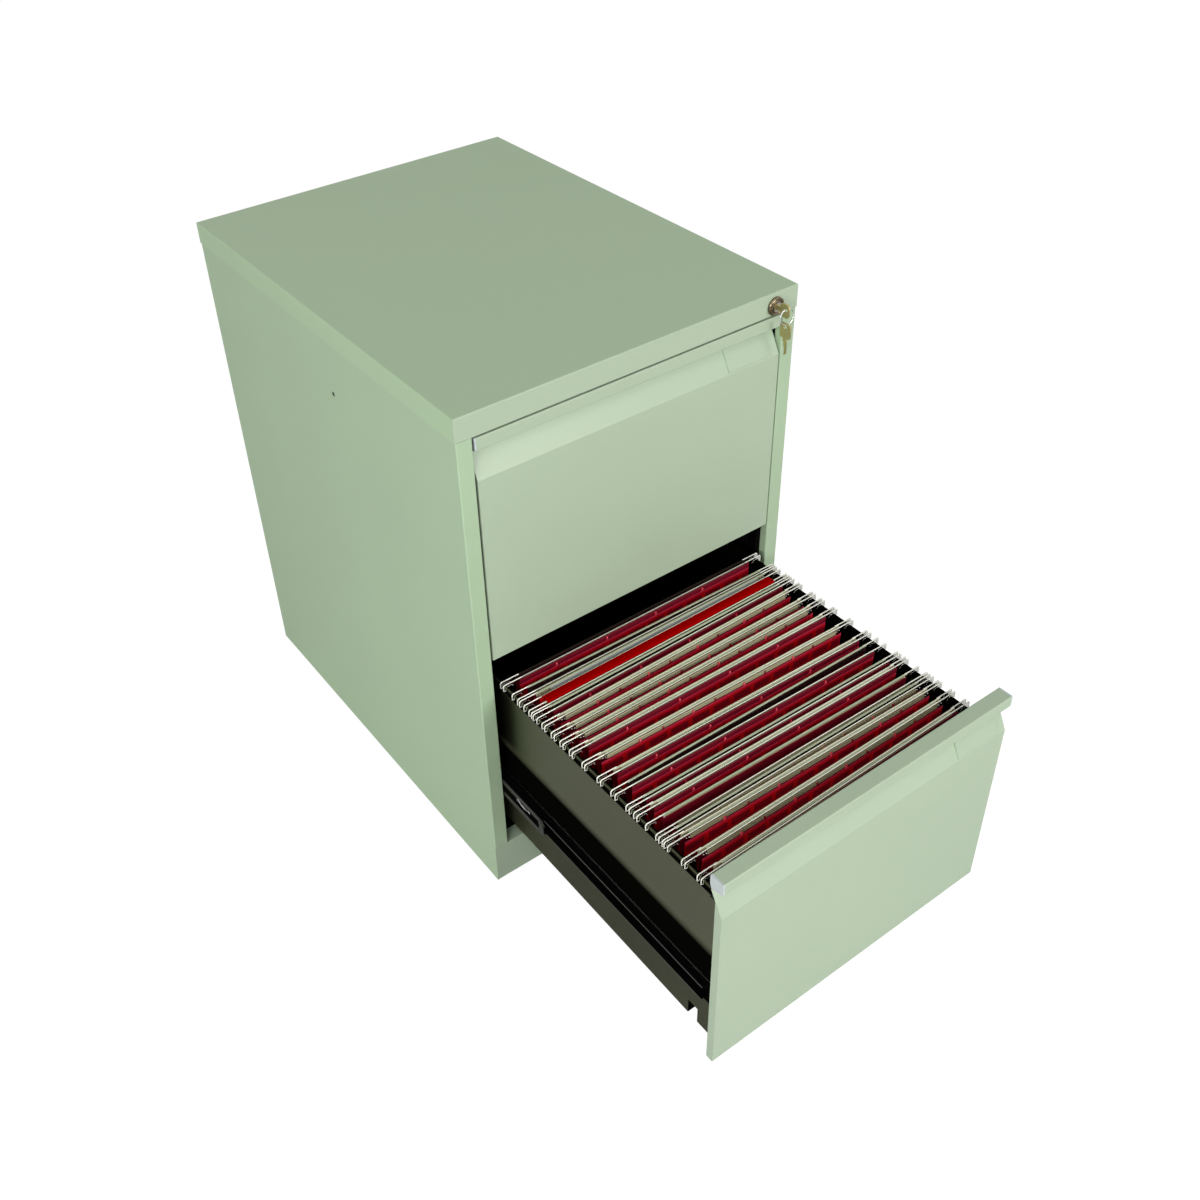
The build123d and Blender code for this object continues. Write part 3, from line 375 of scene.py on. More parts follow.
PAINT = painted("pale_green_paint", FRONT_GREEN, 0.42)
SIDE_PAINT = painted("side_panel_paint", SIDE_GREEN_PAINTED_LIGHT, 0.42, inner=side_inner_painted_shade)
# The lid's front fascia keeps the front's tone; its top and skirts get the lid's painted-light tone
LID_PAINT = painted("lid_paint", LID_GREEN_PAINTED_LIGHT, 0.42, inner=lid_inner_painted_shade, front=FRONT_GREEN)
BACK_PAINT = painted("back_panel_paint", SIDE_GREEN_PAINTED_LIGHT, 0.42, inner=back_inner_painted_shade)
# Black drawer sides with a painted olive reflection above the swage and on the rail and foot, and painted
# shade under the swage
DRAWER_PAINT = black_with_painted_reflection("black_drawer_paint", BLACK_PAINT_AND_SHADE, OLIVE_PAINTED_REFLECTION, 0.36, drawer_painted_reflection)
DARK_PAINT = painted("dead_black_paint", BLACK_PAINT_AND_SHADE, 0.5, ripple=0.06, tone_change=0.3, specular=0.2)
# Black runner finish with painted highlights along its edges and on the web's strips
RUNNER_PAINT = black_with_painted_reflection("black_runner_zinc", (0.003, 0.003, 0.003), (0.36, 0.36, 0.32), 0.32,
                           runner_painted_highlights, ripple=0.0)
CAP_PLASTIC = painted("end_cap_plastic", (0.58, 0.64, 0.64), 0.45, ripple=0.05, tone_change=0.02)
GLIDE_PLASTIC = painted("glide_plastic", (0.012, 0.012, 0.012), 0.5, ripple=0.1)
NICKEL = metal("lock_nickel", (0.62, 0.58, 0.50), (500.0, 500.0, 60.0), 0.14, 0.32)
BEZEL_METAL = metal("lock_bezel_metal", (0.30, 0.24, 0.15), (500.0, 500.0, 60.0), 0.10, 0.24, dull=0.45)
BRASS = metal("key_brass", (0.50, 0.44, 0.21), (300.0, 300.0, 300.0), 0.34, 0.52)
CAGE_STEEL = metal("cage_steel", (0.55, 0.55, 0.54), (600.0, 8.0, 600.0), 0.2, 0.4)
BAR_STEEL = metal("file_bar_steel", (0.92, 0.92, 0.88), (6.0, 500.0, 600.0), 0.12, 0.22, depth=0.02,
                  dull=0.92)
# Bars' bright ridges and hooks' rims are painted highlights; rear faces a lit tone, faces below a shaded
# tone; groove and shaded bar painted shade
BAR_PAINTED_HIGHLIGHT = painted("file_bar_edge", (0.93, 0.92, 0.78), 0.28, ripple=0.01, metallic=0.55)
HOOK_PAINTED_HIGHLIGHT = painted("file_hook_edge", (1.0, 0.99, 0.88), 0.3, ripple=0.01, metallic=0.2)
BAR_FACE_SHADED_TONE = painted("file_bar_face", (0.43, 0.39, 0.23), 0.30, ripple=0.02, tone_change=0.10)
BAR_BACK_LIT_TONE = painted("file_bar_back", (0.52, 0.58, 0.40), 0.25, ripple=0.02, tone_change=0.12)
BAR_PAINTED_SHADE = painted("file_bar_groove", (0.020, 0.018, 0.010), 0.5, ripple=0.02, tone_change=0.2,
                     specular=0.2)
LABEL_CARD = painted("label_card", (0.480, 0.585, 0.440), 0.5, ripple=0.05)
LABEL_PLATE = painted("clear_label_plate", (0.465, 0.575, 0.425), 0.2, ripple=0.01)

# The print on a card: places along one box's pitch in shares of it, and down the card in metres
PRINT_PITCH = 0.0312
BOX_ALONG, BOX_DOWN = (0.03, 0.84), (0.0066, 0.0168)
SQUARE_ALONG, SQUARE_DOWN = (0.86, 0.99), (0.0060, 0.0166)
LINE_PITCH = 0.0018  # between the rows of specks in a box
FOLD_PAINTED_HIGHLIGHT = (0.0002, 0.0040)  # a painted highlight right under the hem's fold, fading out over this stretch
DEEP_SHADE = (0.016, 0.038)  # the card darkens over this stretch, down between two files
SHADE_CARD_FROM = -0.02  # V of a black card of painted shade that closes a gap is below this
PLAIN_FROM = -0.04  # V of a card with no print is below this
CARD_RED = (0.95, 0.001, 0.012)
BOX_RED = (0.34, 0.0, 0.014)
SPECK_RED = (0.62, 0.002, 0.02)
SQUARE_RED = (0.95, 0.0, 0.004)
PINK_PAINTED_HIGHLIGHT = (1.0, 0.050, 0.140)
HEM_RED = (0.20, 0.0, 0.014)
SHADE_RED = (0.022, 0.0, 0.002)
# Near black of the painted shade on the cards that close dark gaps
GAP_PAINTED_SHADE = (0.008, 0.003, 0.003)
PLAIN_RED = (0.95, 0.0, 0.001)
GRAIN_RED = (0.12, 0.0, 0.006)


def printed_card():
    """Red card: a dark hem, a painted highlight band under it, and printed boxes in a row with bright squares
    between; painted shade lower down and on gap cards.

    The print map's U runs along the file and its V down from the hem's lower edge, both in metres.
    """
    material, nodes, shader = new_material("printed_red_card")
    print_map = nodes.add("ShaderNodeUVMap", uv_map="print").outputs["UV"]
    split = nodes.add("ShaderNodeSeparateXYZ", {"Vector": print_map})
    along_card, down = split.outputs["X"], split.outputs["Y"]
    cell = nodes.math("FRACT", nodes.math("DIVIDE", along_card, PRINT_PITCH))

    def noise(scale, detail):
        place = nodes.add("ShaderNodeTexCoord").outputs["Object"]
        texture = nodes.add("ShaderNodeTexNoise", {"Vector": place, "Scale": scale, "Detail": detail})
        return texture.outputs["Fac"]

    def between(value, limits, soft):
        low, high = limits
        return between_ramps(nodes, value, (low - soft, low + soft), (high - soft, high + soft))

    def patch(along, downward):
        return nodes.product(between(cell, along, 0.02), between(down, downward, 0.0006))

    box = patch(BOX_ALONG, BOX_DOWN)
    line = nodes.math("FRACT", nodes.math("DIVIDE", down, LINE_PITCH))
    specks = nodes.product(between(line, (0.25, 0.75), 0.1), nodes.above(noise(900.0, 0.0), 0.5))
    grain = noise(260.0, 4.0)
    skin = colour(CARD_RED)
    for share, tone in (
            (box, BOX_RED),
            (nodes.product(specks, box, 0.6), SPECK_RED),
            (patch(SQUARE_ALONG, SQUARE_DOWN), SQUARE_RED),
            (nodes.ramp(down, *FOLD_PAINTED_HIGHLIGHT, 1.0, 0.0), PINK_PAINTED_HIGHLIGHT),
            (nodes.below(down, 0.0), HEM_RED),
            (nodes.ramp(down, *DEEP_SHADE), SHADE_RED),
            (nodes.below(down, SHADE_CARD_FROM), GAP_PAINTED_SHADE),
            (nodes.below(down, PLAIN_FROM), PLAIN_RED),
            (nodes.ramp(grain, 0.35, 0.65, 0.0, 0.12), GRAIN_RED)):
        skin = nodes.mix(share, skin, colour(tone))
    bump = nodes.add("ShaderNodeBump", {"Height": grain, "Strength": 0.12, "Distance": 0.0003})
    surface(nodes, shader, skin, nodes.ramp(grain, 0.3, 0.7, 0.45, 0.62), bump.outputs["Normal"])
    return material


FOLDER_RED = printed_card()
FLAP_RED = painted("folder_flap_red", (0.35, 0.0, 0.0005), 0.55, ripple=0.05, specular=0.0)
TAB_PINK = painted("pink_tab", (0.80, 0.05, 0.09), 0.35, ripple=0.02)
INDEX_GREY = painted("index_strip", (0.30, 0.31, 0.31), 0.25, ripple=0.02, tone_change=0.05)
TONGUE_RED = painted("dark_red_tongue", (0.20, 0.0, 0.008), 0.5, ripple=0.05)
BALL_STEEL = metal("ball_steel", (0.75, 0.75, 0.74), (200.0, 200.0, 200.0), 0.08, 0.16)
LATCH_METAL = metal("latch_metal", (0.07, 0.07, 0.06), (400.0, 700.0, 700.0), 0.18, 0.45, depth=0.3,
                    dull=0.1)
WIRE = metal("key_ring_wire", (0.80, 0.80, 0.80), (300.0, 300.0, 300.0), 0.12, 0.28)

FINISHES = {
    "top_panel": LID_PAINT, "left_side_panel": SIDE_PAINT, "right_side_panel": SIDE_PAINT,
    "back_panel": BACK_PAINT, "base_panel": DARK_PAINT, "front_plinth": PAINT,
    "left_front_upright": DARK_PAINT, "right_front_upright": DARK_PAINT,
    "left_rear_upright": DARK_PAINT, "right_rear_upright": DARK_PAINT,
    "floor_glides": GLIDE_PLASTIC, "lock_housing": NICKEL, "lock_nut": NICKEL, "lock_cylinder": NICKEL,
    "lock_cam": NICKEL, "lock_bar": RUNNER_PAINT, "lock_bar_guides": RUNNER_PAINT, "lock_key": BRASS,
    "file_bars": BAR_STEEL, "file_folders": FOLDER_RED,
}
LEVEL_FINISHES = {
    "drawer_front": PAINT, "drawer_front_backing": DARK_PAINT, "pull_end_caps": CAP_PLASTIC,
    "drawer_left_side": DRAWER_PAINT, "drawer_right_side": DRAWER_PAINT, "drawer_bottom": DARK_PAINT,
    "drawer_back": DARK_PAINT, "drawer_runner_left": RUNNER_PAINT, "drawer_runner_right": RUNNER_PAINT,
    "middle_runner_left": RUNNER_PAINT, "middle_runner_right": RUNNER_PAINT,
    "cabinet_runner_left": RUNNER_PAINT, "cabinet_runner_right": RUNNER_PAINT,
    "outer_ball_cages": CAGE_STEEL, "inner_ball_cages": CAGE_STEEL,
    "label_holder": LABEL_PLATE, "label_card": LABEL_CARD, "latch_bracket": RUNNER_PAINT,
}


def dress_frame():
    """Gives each CAD node its finish."""
    finishes = dict(FINISHES)
    for level in LEVELS:
        for name, material in LEVEL_FINISHES.items():
            finishes[f"{level}_{name}"] = material
    for name, node in NODES.items():
        for place in node.material_slots:
            place.material = finishes[name]


def make_camera():
    data = bpy.data.cameras.new("photo_camera")
    data.lens = CAMERA_LENS
    data.sensor_width = SENSOR
    data.shift_x = SHIFT_X
    data.shift_y = SHIFT_Y
    data.clip_start = 0.01
    data.clip_end = 100.0
    camera = bpy.data.objects.new("photo_camera", data)
    camera.location = CAMERA_PLACE
    camera.rotation_euler = [math.radians(angle) for angle in CAMERA_TURN]
    bpy.context.scene.collection.objects.link(camera)
    bpy.context.scene.camera = camera


def add_lamp(name, place, power):
    data = bpy.data.lights.new(name, "AREA")
    data.shape = "DISK"
    data.size = LAMP_SIZE
    data.energy = power
    lamp = bpy.data.objects.new(name, data)
    lamp.location = place
    lamp.rotation_euler = (Vector(LAMP_TARGET) - Vector(place)).to_track_quat("-Z", "Y").to_euler()
    bpy.context.scene.collection.objects.link(lamp)


def seen_rays(nodes):
    """1 for rays that show the background: straight from the camera, mirrored or through glass."""
    path = nodes.add("ShaderNodeLightPath").outputs
    return nodes.largest(path["Is Camera Ray"], path["Is Glossy Ray"], path["Is Transmission Ray"])


def make_world():
    world = bpy.data.worlds.new("studio")
    bpy.context.scene.world = world
    world.use_nodes = True
    nodes = Nodes(world.node_tree)
    background = world.node_tree.nodes["Background"]
    background.inputs["Color"].default_value = (1.0, 1.0, 1.0, 1.0)
    nodes.feed(background.inputs["Strength"], nodes.ramp(seen_rays(nodes), 0.0, 1.0, AMBIENT, 1.0))


def make_floor():
    mesh = bpy.data.meshes.new("studio_floor")
    corners = [(x * FLOOR_HALF, y * FLOOR_HALF, FLOOR_Z) for x, y in ((-1, -1), (1, -1), (1, 1), (-1, 1))]
    mesh.from_pydata(corners, [], [(0, 1, 2, 3)])
    floor = bpy.data.objects.new("studio_floor", mesh)
    bpy.context.scene.collection.objects.link(floor)
    material, nodes, shader = new_material("studio_floor")
    shader.inputs["Base Color"].default_value = (0.82, 0.82, 0.82, 1.0)
    shader.inputs["Roughness"].default_value = 0.9
    shader.inputs["Specular IOR Level"].default_value = 0.0
    glow = nodes.add("ShaderNodeEmission", {"Color": (1.0, 1.0, 1.0, 1.0), "Strength": FLOOR_GLOW})
    seen = nodes.add("ShaderNodeLightPath").outputs["Is Camera Ray"]
    share = nodes.product(seen, FLOOR_GLOW_SHARE)
    blend = nodes.add("ShaderNodeMixShader", {0: share, 1: shader.outputs[0], 2: glow.outputs[0]})
    output = material.node_tree.nodes["Material Output"]
    nodes.feed(output.inputs["Surface"], blend.outputs[0])
    mesh.materials.append(material)


def make_studio():
    make_camera()
    make_world()
    make_floor()
    add_lamp("front_lamp", (1.05, -4.22, 1.66), 74.0)
    add_lamp("left_front_lamp", (-3.16, -2.67, 1.92), 40.0)
    add_lamp("left_lamp", (-3.87, -1.40, 1.66), 38.0)
    add_lamp("high_lamp", (-1.68, -2.24, 3.76), 24.0)
    bpy.context.scene.view_settings.view_transform = "Standard"


MM = 0.001
LOCK = Vector((0.200, -0.311, 0.694))
LOWER_FRONT_Y = -0.7075  # front face of the open drawer
BAR_TOP = 0.3345  # top edges of the file bars
# Stands a flat drawing up: its U along Y and its V along Z
UPRIGHT = Matrix(((0, 0, 1, 0), (1, 0, 0, 0), (0, 1, 0, 0), (0, 0, 0, 1)))

# Each file: where the top edges of its two bars lie behind the drawer's front, in mm, at the left end and at
# the right, and what its card leaves to be seen: of the front bar's face, and of the gap between the bars (a
# dark gap gets painted shade)
FILES = (
    ((42.0, 46.5), (48.0, 51.5), "covered", "bright"), ((67.0, 67.3), (72.3, 72.0), "open", "bright"),
    ((94.5, 86.7), (100.3, 91.0), "open", "bright"), ((103.3, 99.2), (108.7, 104.3), "open", "dark"),
    ((113.5, 108.5), (130.5, 121.5), "open", "wide"), ((145.0, 137.5), (150.5, 142.3), "closed", "bright"),
    ((158.0, 149.3), (163.3, 154.5), "closed", "dark"), ((182.5, 173.0), (189.5, 186.0), "covered", "dark"),
    ((208.0, 197.5), (214.0, 203.3), "closed", "bright"), ((236.5, 227.3), (241.5, 232.0), "open", "bright"),
    ((259.5, 254.5), (265.0, 259.5), "closed", "bright"), ((276.7, 276.0), (282.5, 281.3), "open", "bright"),
    ((293.6, 292.0), (299.4, 297.6), "open", "bright"), ((312.0, 316.3), (317.5, 321.0), "open", "bright"),
    ((327.5, 330.8), (334.8, 335.8), "closed", "dark"), ((338.3, 339.5), (343.5, 344.7), "open", "dark"),
    ((353.5, 355.8), (362.3, 362.8), "covered", "strip"), ((366.5, 366.5), (377.5, 370.6), "open", "dark"),
    ((395.5, 394.3), (402.0, 400.5), "closed", "dark"),
)
PLAIN_FILE = 16  # index of the file whose front card has no print

# File bars, in mm
BAR_SPAN = 407.0
CHANNEL_END = 181.0
STRIP_END = 172.5
RIDGE = 2.2  # back edge of a bar's ridge, from the bar's own origin
HOOK_PLACE = (202.9, 1.5, -0.5)  # its end, the middle of its sheet and its top, from the bar's middle
HOOK_SHEET = 0.7
HOOK_BEVEL = 0.15
OUTER_RIM = 0.75  # radius of the rolled rim round the hook's outer side
INNER_RIM = 0.42
STUD_RADIUS = 0.9

# Cards, in mm
FOLDER_HALF = 181.0
CARD = 0.5
FOOT_DROP = 243.0  # from the bar's top edge down to the folder's foot
STRAIGHT = 9.0  # a card hangs straight this far before it runs to the foot
LINE_DROP = 8.8  # lower edge of the hem below the bar's top edge
CARD_TOPS = {"open": 8.1, "closed": 1.4, "covered": 1.4}  # top edge of the card below the bar's top edge
CARD_COLUMNS = 24
CARD_ROWS = (0.0, 2.0, 4.0, 7.0, 10.0, 16.0, 40.0, 120.0)  # below the card's top edge
SHORT_ROWS = 5  # rows of a card that shows only between two bars
UNPRINTED = -0.26  # V of a card that carries no print
SHADE_CARD = -0.03  # V of a black card of painted shade that closes the gap between two bars
HEM_CARD = -0.01  # V of a hem
CARD_SHIFT = 0.77  # by which each card's bow and print are out of step with the last one's
PRINT_SHIFT = 40.0  # along the card, for a shift of 1
PRINT_START = 400.0  # keeps the print's U above 0
TAB_PITCH = 76.4
TABS = [-128.0 + TAB_PITCH * k for k in range(4)]  # bright tongues of the hem along a file
NOTCHES = [-95.0 + TAB_PITCH * k for k in range(4)]  # dark tongues across an open strip

# Keys, runner balls, rivets and latches, in mm
KEY_HOLE = (-18.6, 1.4)  # middle of the inserted key's hole, from the lock's middle
HOLE_RADIUS = 2.4
RING_RADIUS = 10.0
RING_TILT = 0.12
WIRE_RADIUS = 0.55
RING_MIDDLE = LOCK + Vector((1.0, KEY_HOLE[0] - 0.6, KEY_HOLE[1] + 2.0 - RING_RADIUS)) * MM
SPARE_SCALE = 1.12  # the spare key against the outline drawn for it
RACES = {"outer": (207.4, 14.7), "inner": (203.8, 11.9)}  # a race's place in X, and off the cage's middle
BALLS = 4  # in each race
BALL_RADIUS = 1.3
RIVET_RADIUS = 3.2
RIVET_FLATNESS = 0.35
RIVET_SHARES = (0.05, 0.3, 0.62, 0.94)  # places along the runner
LATCH_X = 212.8
LATCH_WIRE_X = 212.95
LATCH_WIRE = (0.5, 0.7)  # half the wire's thickness across and upright


def link(name, mesh, material=None):
    """A new object in the scene for a mesh, with one material or the mesh's own."""
    piece = bpy.data.objects.new(name, mesh)
    bpy.context.scene.collection.objects.link(piece)
    if material:
        mesh.materials.clear()
        mesh.materials.append(material)
    return piece


def from_bmesh(name, shape, material, smooth=False):
    """A piece from closed shells, whose faces are turned outwards first."""
    bmesh.ops.recalc_face_normals(shape, faces=shape.faces)
    mesh = bpy.data.meshes.new(name)
    for face in shape.faces:
        face.smooth = smooth
    shape.to_mesh(mesh)
    shape.free()
    return link(name, mesh, material)


def settled(piece):
    """The piece with its modifiers applied: a plain mesh object of the same name."""
    graph = bpy.context.evaluated_depsgraph_get()
    mesh = bpy.data.meshes.new_from_object(piece.evaluated_get(graph))
    name = piece.name
    bpy.data.objects.remove(piece)
    mesh.name = name
    fresh = bpy.data.objects.new(name, mesh)
    bpy.context.scene.collection.objects.link(fresh)
    return fresh


def carried(piece, body, slot, *nodes):
    """Sets a finished piece on its body and hides the CAD nodes that it stands for; slot is not used."""
    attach(piece, body)
    if nodes:
        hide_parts(*nodes)


def from_curve(curve, paths, closed, material, place):
    """A mesh piece from a curve with straight runs through each path's points, in mm, then set in place."""
    for path in paths:
        spline = curve.splines.new("POLY")
        spline.points.add(len(path) - 1)
        for point, (u, v) in zip(spline.points, path):
            point.co = (u * MM, v * MM, 0.0, 1.0)
        spline.use_cyclic_u = closed
    drawn = bpy.data.objects.new(curve.name, curve)
    bpy.context.scene.collection.objects.link(drawn)
    piece = settled(drawn)
    bpy.data.curves.remove(curve)
    piece.data.transform(place)
    piece.data.materials.clear()
    piece.data.materials.append(material)
    return piece


def plate(name, outlines, thickness, bevel, material, place):
    """A flat plate with rounded edges from closed outlines in mm; outlines after the first are holes."""
    curve = bpy.data.curves.new(name, "CURVE")
    curve.dimensions = "2D"
    curve.fill_mode = "BOTH"
    curve.extrude = (thickness / 2 - bevel) * MM
    curve.bevel_depth = bevel * MM
    curve.bevel_resolution = 1
    curve.offset = -bevel * MM
    return from_curve(curve, outlines, True, material, place)


def rolled_rim(name, path, radius, material, place):
    """A round rim, capped at its ends, along a path in mm."""
    curve = bpy.data.curves.new(name, "CURVE")
    curve.dimensions = "3D"
    curve.bevel_depth = radius * MM
    curve.bevel_resolution = 1
    curve.use_fill_caps = True
    return from_curve(curve, [path], False, material, place)


def full_turn(count):
    """Angles that go round once in equal steps."""
    return [2 * math.pi * k / count for k in range(count)]


def circle(centre, radius, count=20):
    return [(centre[0] + radius * math.cos(angle), centre[1] + radius * math.sin(angle))
            for angle in full_turn(count)]


def scaled(outline, scale):
    return [(u * scale, v * scale) for u, v in outline]


def tube_ring(shape, centre, across, up, count):
    """A ring of points round centre, whose half axes are across and up."""
    return [shape.verts.new(centre + across * math.cos(t) + up * math.sin(t)) for t in full_turn(count)]


def join_rings(shape, rings, closed):
    """Faces between neighbouring rings of points; a row that isn't closed is capped at both ends."""
    for first, second in zip(rings, rings[1:] + rings[:1] if closed else rings[1:]):
        for j in range(len(first)):
            following = (j + 1) % len(first)
            shape.faces.new((first[j], first[following], second[following], second[j]))
    if not closed:
        shape.faces.new(list(reversed(rings[0])))
        shape.faces.new(rings[-1])


def pulled(name, outline, low_x, high_x, material, place=Matrix.Identity(4)):
    """A closed section in (Y, Z), in mm, pulled along X from low_x to high_x."""
    shape = bmesh.new()
    rings = [[shape.verts.new(place @ Vector((x * MM, y * MM, z * MM))) for y, z in outline]
             for x in (low_x, high_x)]
    join_rings(shape, rings, closed=False)
    return from_bmesh(name, shape, material)


def turned_about_y(name, profile, centre, material, steps=48):
    """A lathe-turned piece: profile is (radius, y) in mm, turned about the Y axis through centre."""
    shape = bmesh.new()
    rings = []
    for angle in full_turn(steps):
        across, up = math.cos(angle), math.sin(angle)
        rings.append([shape.verts.new(centre + Vector((radius * across, y, radius * up)) * MM)
                      for radius, y in profile])
    join_rings(shape, rings, closed=True)
    return from_bmesh(name, shape, material, smooth=True)


def joined(name, pieces):
    """One mesh object from several, keeping each one's material."""
    shape = bmesh.new()
    materials = []
    for piece in pieces:
        start = len(shape.faces)
        shape.from_mesh(piece.data)
        shape.faces.ensure_lookup_table()
        for material in piece.data.materials:
            if material not in materials:
                materials.append(material)
        places = [materials.index(material) for material in piece.data.materials]
        for face in shape.faces[start:]:
            face.material_index = places[face.material_index]
        bpy.data.objects.remove(piece)
    mesh = bpy.data.meshes.new(name)
    shape.to_mesh(mesh)
    shape.free()
    for material in materials:
        mesh.materials.append(material)
    return link(name, mesh)


def make_hook(side):
    """The end of a file bar: a pressed plate that drops over the rail, with a rolled rim in a painted
    highlight.
    """
    outline = [
        (25.0, 0.0), (25.0, -1.2), (16.4, -1.4), (15.6, -5.6), (14.4, -6.6), (13.2, -6.2), (12.6, -3.6),
        (4.6, -3.6), (3.5, -4.6), (3.3, -8.6), (2.6, -9.3), (0.8, -9.3), (0.0, -8.5), (0.0, -1.6), (1.6, 0.0),
    ]
    outer = [(26.0, 0.0), (1.6, 0.0), (0.2, -1.6), (0.2, -8.3), (0.9, -9.1), (2.4, -9.1), (3.1, -8.6)]
    inner = [(3.1, -8.6), (3.4, -4.6), (4.6, -3.7), (12.6, -3.7), (13.2, -6.2), (14.4, -6.6)]
    if side > 0:
        outline = [(-u, v) for u, v in reversed(outline)]
        outer = [(-u, v) for u, v in outer]
        inner = [(-u, v) for u, v in inner]
    end, middle, top = HOOK_PLACE
    stand = Matrix.Translation(Vector((side * end, middle, top)) * MM) @ Matrix.Rotation(math.pi / 2, 4, "X")
    web = plate("hook_web", [outline], HOOK_SHEET, HOOK_BEVEL, BAR_STEEL, stand)
    return joined("hook", [web, rolled_rim("outer_rim", outer, OUTER_RIM, HOOK_PAINTED_HIGHLIGHT, stand),
                           rolled_rim("inner_rim", inner, INNER_RIM, HOOK_PAINTED_HIGHLIGHT, stand)])


# The parts of each kind of bar: a closed section in (Y, Z) in mm, half its length, and its finish: a painted
# highlight, a lit or shaded tone, or painted shade
BAR_PARTS = {
    "front": (
        ("ridge", [(0.8, -0.9), (0.9, -0.15), (1.1, 0.0), (1.9, 0.0), (2.1, -0.15), (2.2, -0.9)],
         CHANNEL_END, BAR_PAINTED_HIGHLIGHT),
        ("groove", [(1.3, -2.7), (1.3, -0.8), (2.1, -0.8), (2.1, -2.7)], CHANNEL_END, BAR_PAINTED_SHADE),
        ("face", [(0.3, -8.0), (0.1, -7.4), (0.5, -4.8), (0.3, -3.0), (0.6, -2.6), (2.0, -2.6), (2.0, -8.0)],
         STRIP_END, BAR_FACE_SHADED_TONE)),
    "lit": (
        ("ridge", [(-0.2, -0.9), (-0.15, -0.1), (0.0, 0.0), (0.6, 0.0), (0.75, -0.1), (0.8, -0.9)],
         CHANNEL_END, BAR_PAINTED_HIGHLIGHT),
        ("flange", [(-2.3, -1.4), (-2.3, -0.8), (-0.6, -1.0), (-0.6, -1.6)], STRIP_END, BAR_BACK_LIT_TONE),
        ("face", [(-0.7, -8.0), (-0.7, -1.2), (0.0, -0.85), (1.9, -0.85), (1.9, -8.0)],
         CHANNEL_END, BAR_FACE_SHADED_TONE)),
    "wide": (
        ("ridge", [(-0.2, -0.9), (-0.1, -0.15), (0.1, 0.0), (1.9, 0.0), (2.1, -0.15), (2.2, -0.9)],
         CHANNEL_END, BAR_BACK_LIT_TONE),
        ("face", [(0.9, -8.0), (0.7, -4.4), (1.0, -0.85), (2.0, -0.85), (2.0, -8.0)],
         STRIP_END + 6.0, BAR_FACE_SHADED_TONE)),
    "shaded": (
        ("face", [(0.9, -8.0), (0.9, -0.1), (2.0, -0.1), (2.0, -8.0)], CHANNEL_END, BAR_PAINTED_SHADE),),
}


def make_bar(kind):
    """One file bar about the origin, its top edge at Z 0.

    A rear bar is lit, with a flange before it in a painted lit tone, or wide, with a broad top edge in that
    tone, or shaded, in painted shade.
    """
    parts = []
    for name, outline, half, material in BAR_PARTS[kind]:
        parts.append(pulled(name, outline, -half, half, material))
    shape = bmesh.new()
    for side in (-1, 1):
        for x, z in ((STRIP_END + 2.2, -5.6), (STRIP_END + 6.0, -4.6)):
            stud = bmesh.ops.create_icosphere(shape, subdivisions=1, radius=STUD_RADIUS * MM)["verts"]
            bmesh.ops.translate(shape, verts=stud, vec=Vector((side * x, 0.9, z)) * MM)
    studs = from_bmesh("studs", shape, BAR_STEEL)
    return joined("bar_shape", parts + [studs, make_hook(-1), make_hook(1)])


def geometry_tree(name, inputs):
    """A geometry node tree with a geometry input, further named inputs and a geometry output."""
    tree = bpy.data.node_groups.new(name, "GeometryNodeTree")
    tree.interface.new_socket("Geometry", in_out="INPUT", socket_type="NodeSocketGeometry")
    for label, kind in inputs:
        tree.interface.new_socket(label, in_out="INPUT", socket_type=kind)
    tree.interface.new_socket("Geometry", in_out="OUTPUT", socket_type="NodeSocketGeometry")
    nodes = Nodes(tree)
    source = nodes.add("NodeGroupInput")
    return nodes, source.outputs, nodes.add("NodeGroupOutput")


def close_tree(nodes, given, result, instances):
    """Ends a tree in Realize Instances and Set Material, which dresses the faces of one material index."""
    real = nodes.add("GeometryNodeRealizeInstances", {"Geometry": instances})
    place = nodes.add("GeometryNodeInputMaterialIndex")
    chosen = nodes.add("FunctionNodeCompare", data_type="INT", operation="EQUAL")
    nodes.feed(chosen.inputs[2], place.outputs[0])
    nodes.feed(chosen.inputs[3], 0)
    dressed = nodes.add("GeometryNodeSetMaterial", {
        "Geometry": real.outputs[0], "Selection": chosen.outputs[0], "Material": given["Material"]})
    nodes.feed(result.inputs["Geometry"], dressed.outputs[0])


def make_copies_tree():
    """Sets a shape on every point, turned and scaled by the point's own attributes."""
    nodes, given, result = geometry_tree("copies_on_points", [("Shape", "NodeSocketObject"),
                                                              ("Material", "NodeSocketMaterial")])
    shape = nodes.add("GeometryNodeObjectInfo", {"Object": given["Shape"]})
    turn = nodes.add("GeometryNodeInputNamedAttribute", {"Name": "turn"}, data_type="FLOAT_VECTOR")
    size = nodes.add("GeometryNodeInputNamedAttribute", {"Name": "size"}, data_type="FLOAT_VECTOR")
    copies = nodes.add("GeometryNodeInstanceOnPoints", {
        "Points": given["Geometry"], "Instance": shape.outputs["Geometry"],
        "Rotation": turn.outputs["Attribute"], "Scale": size.outputs["Attribute"]})
    close_tree(nodes, given, result, copies.outputs[0])
    return nodes.tree


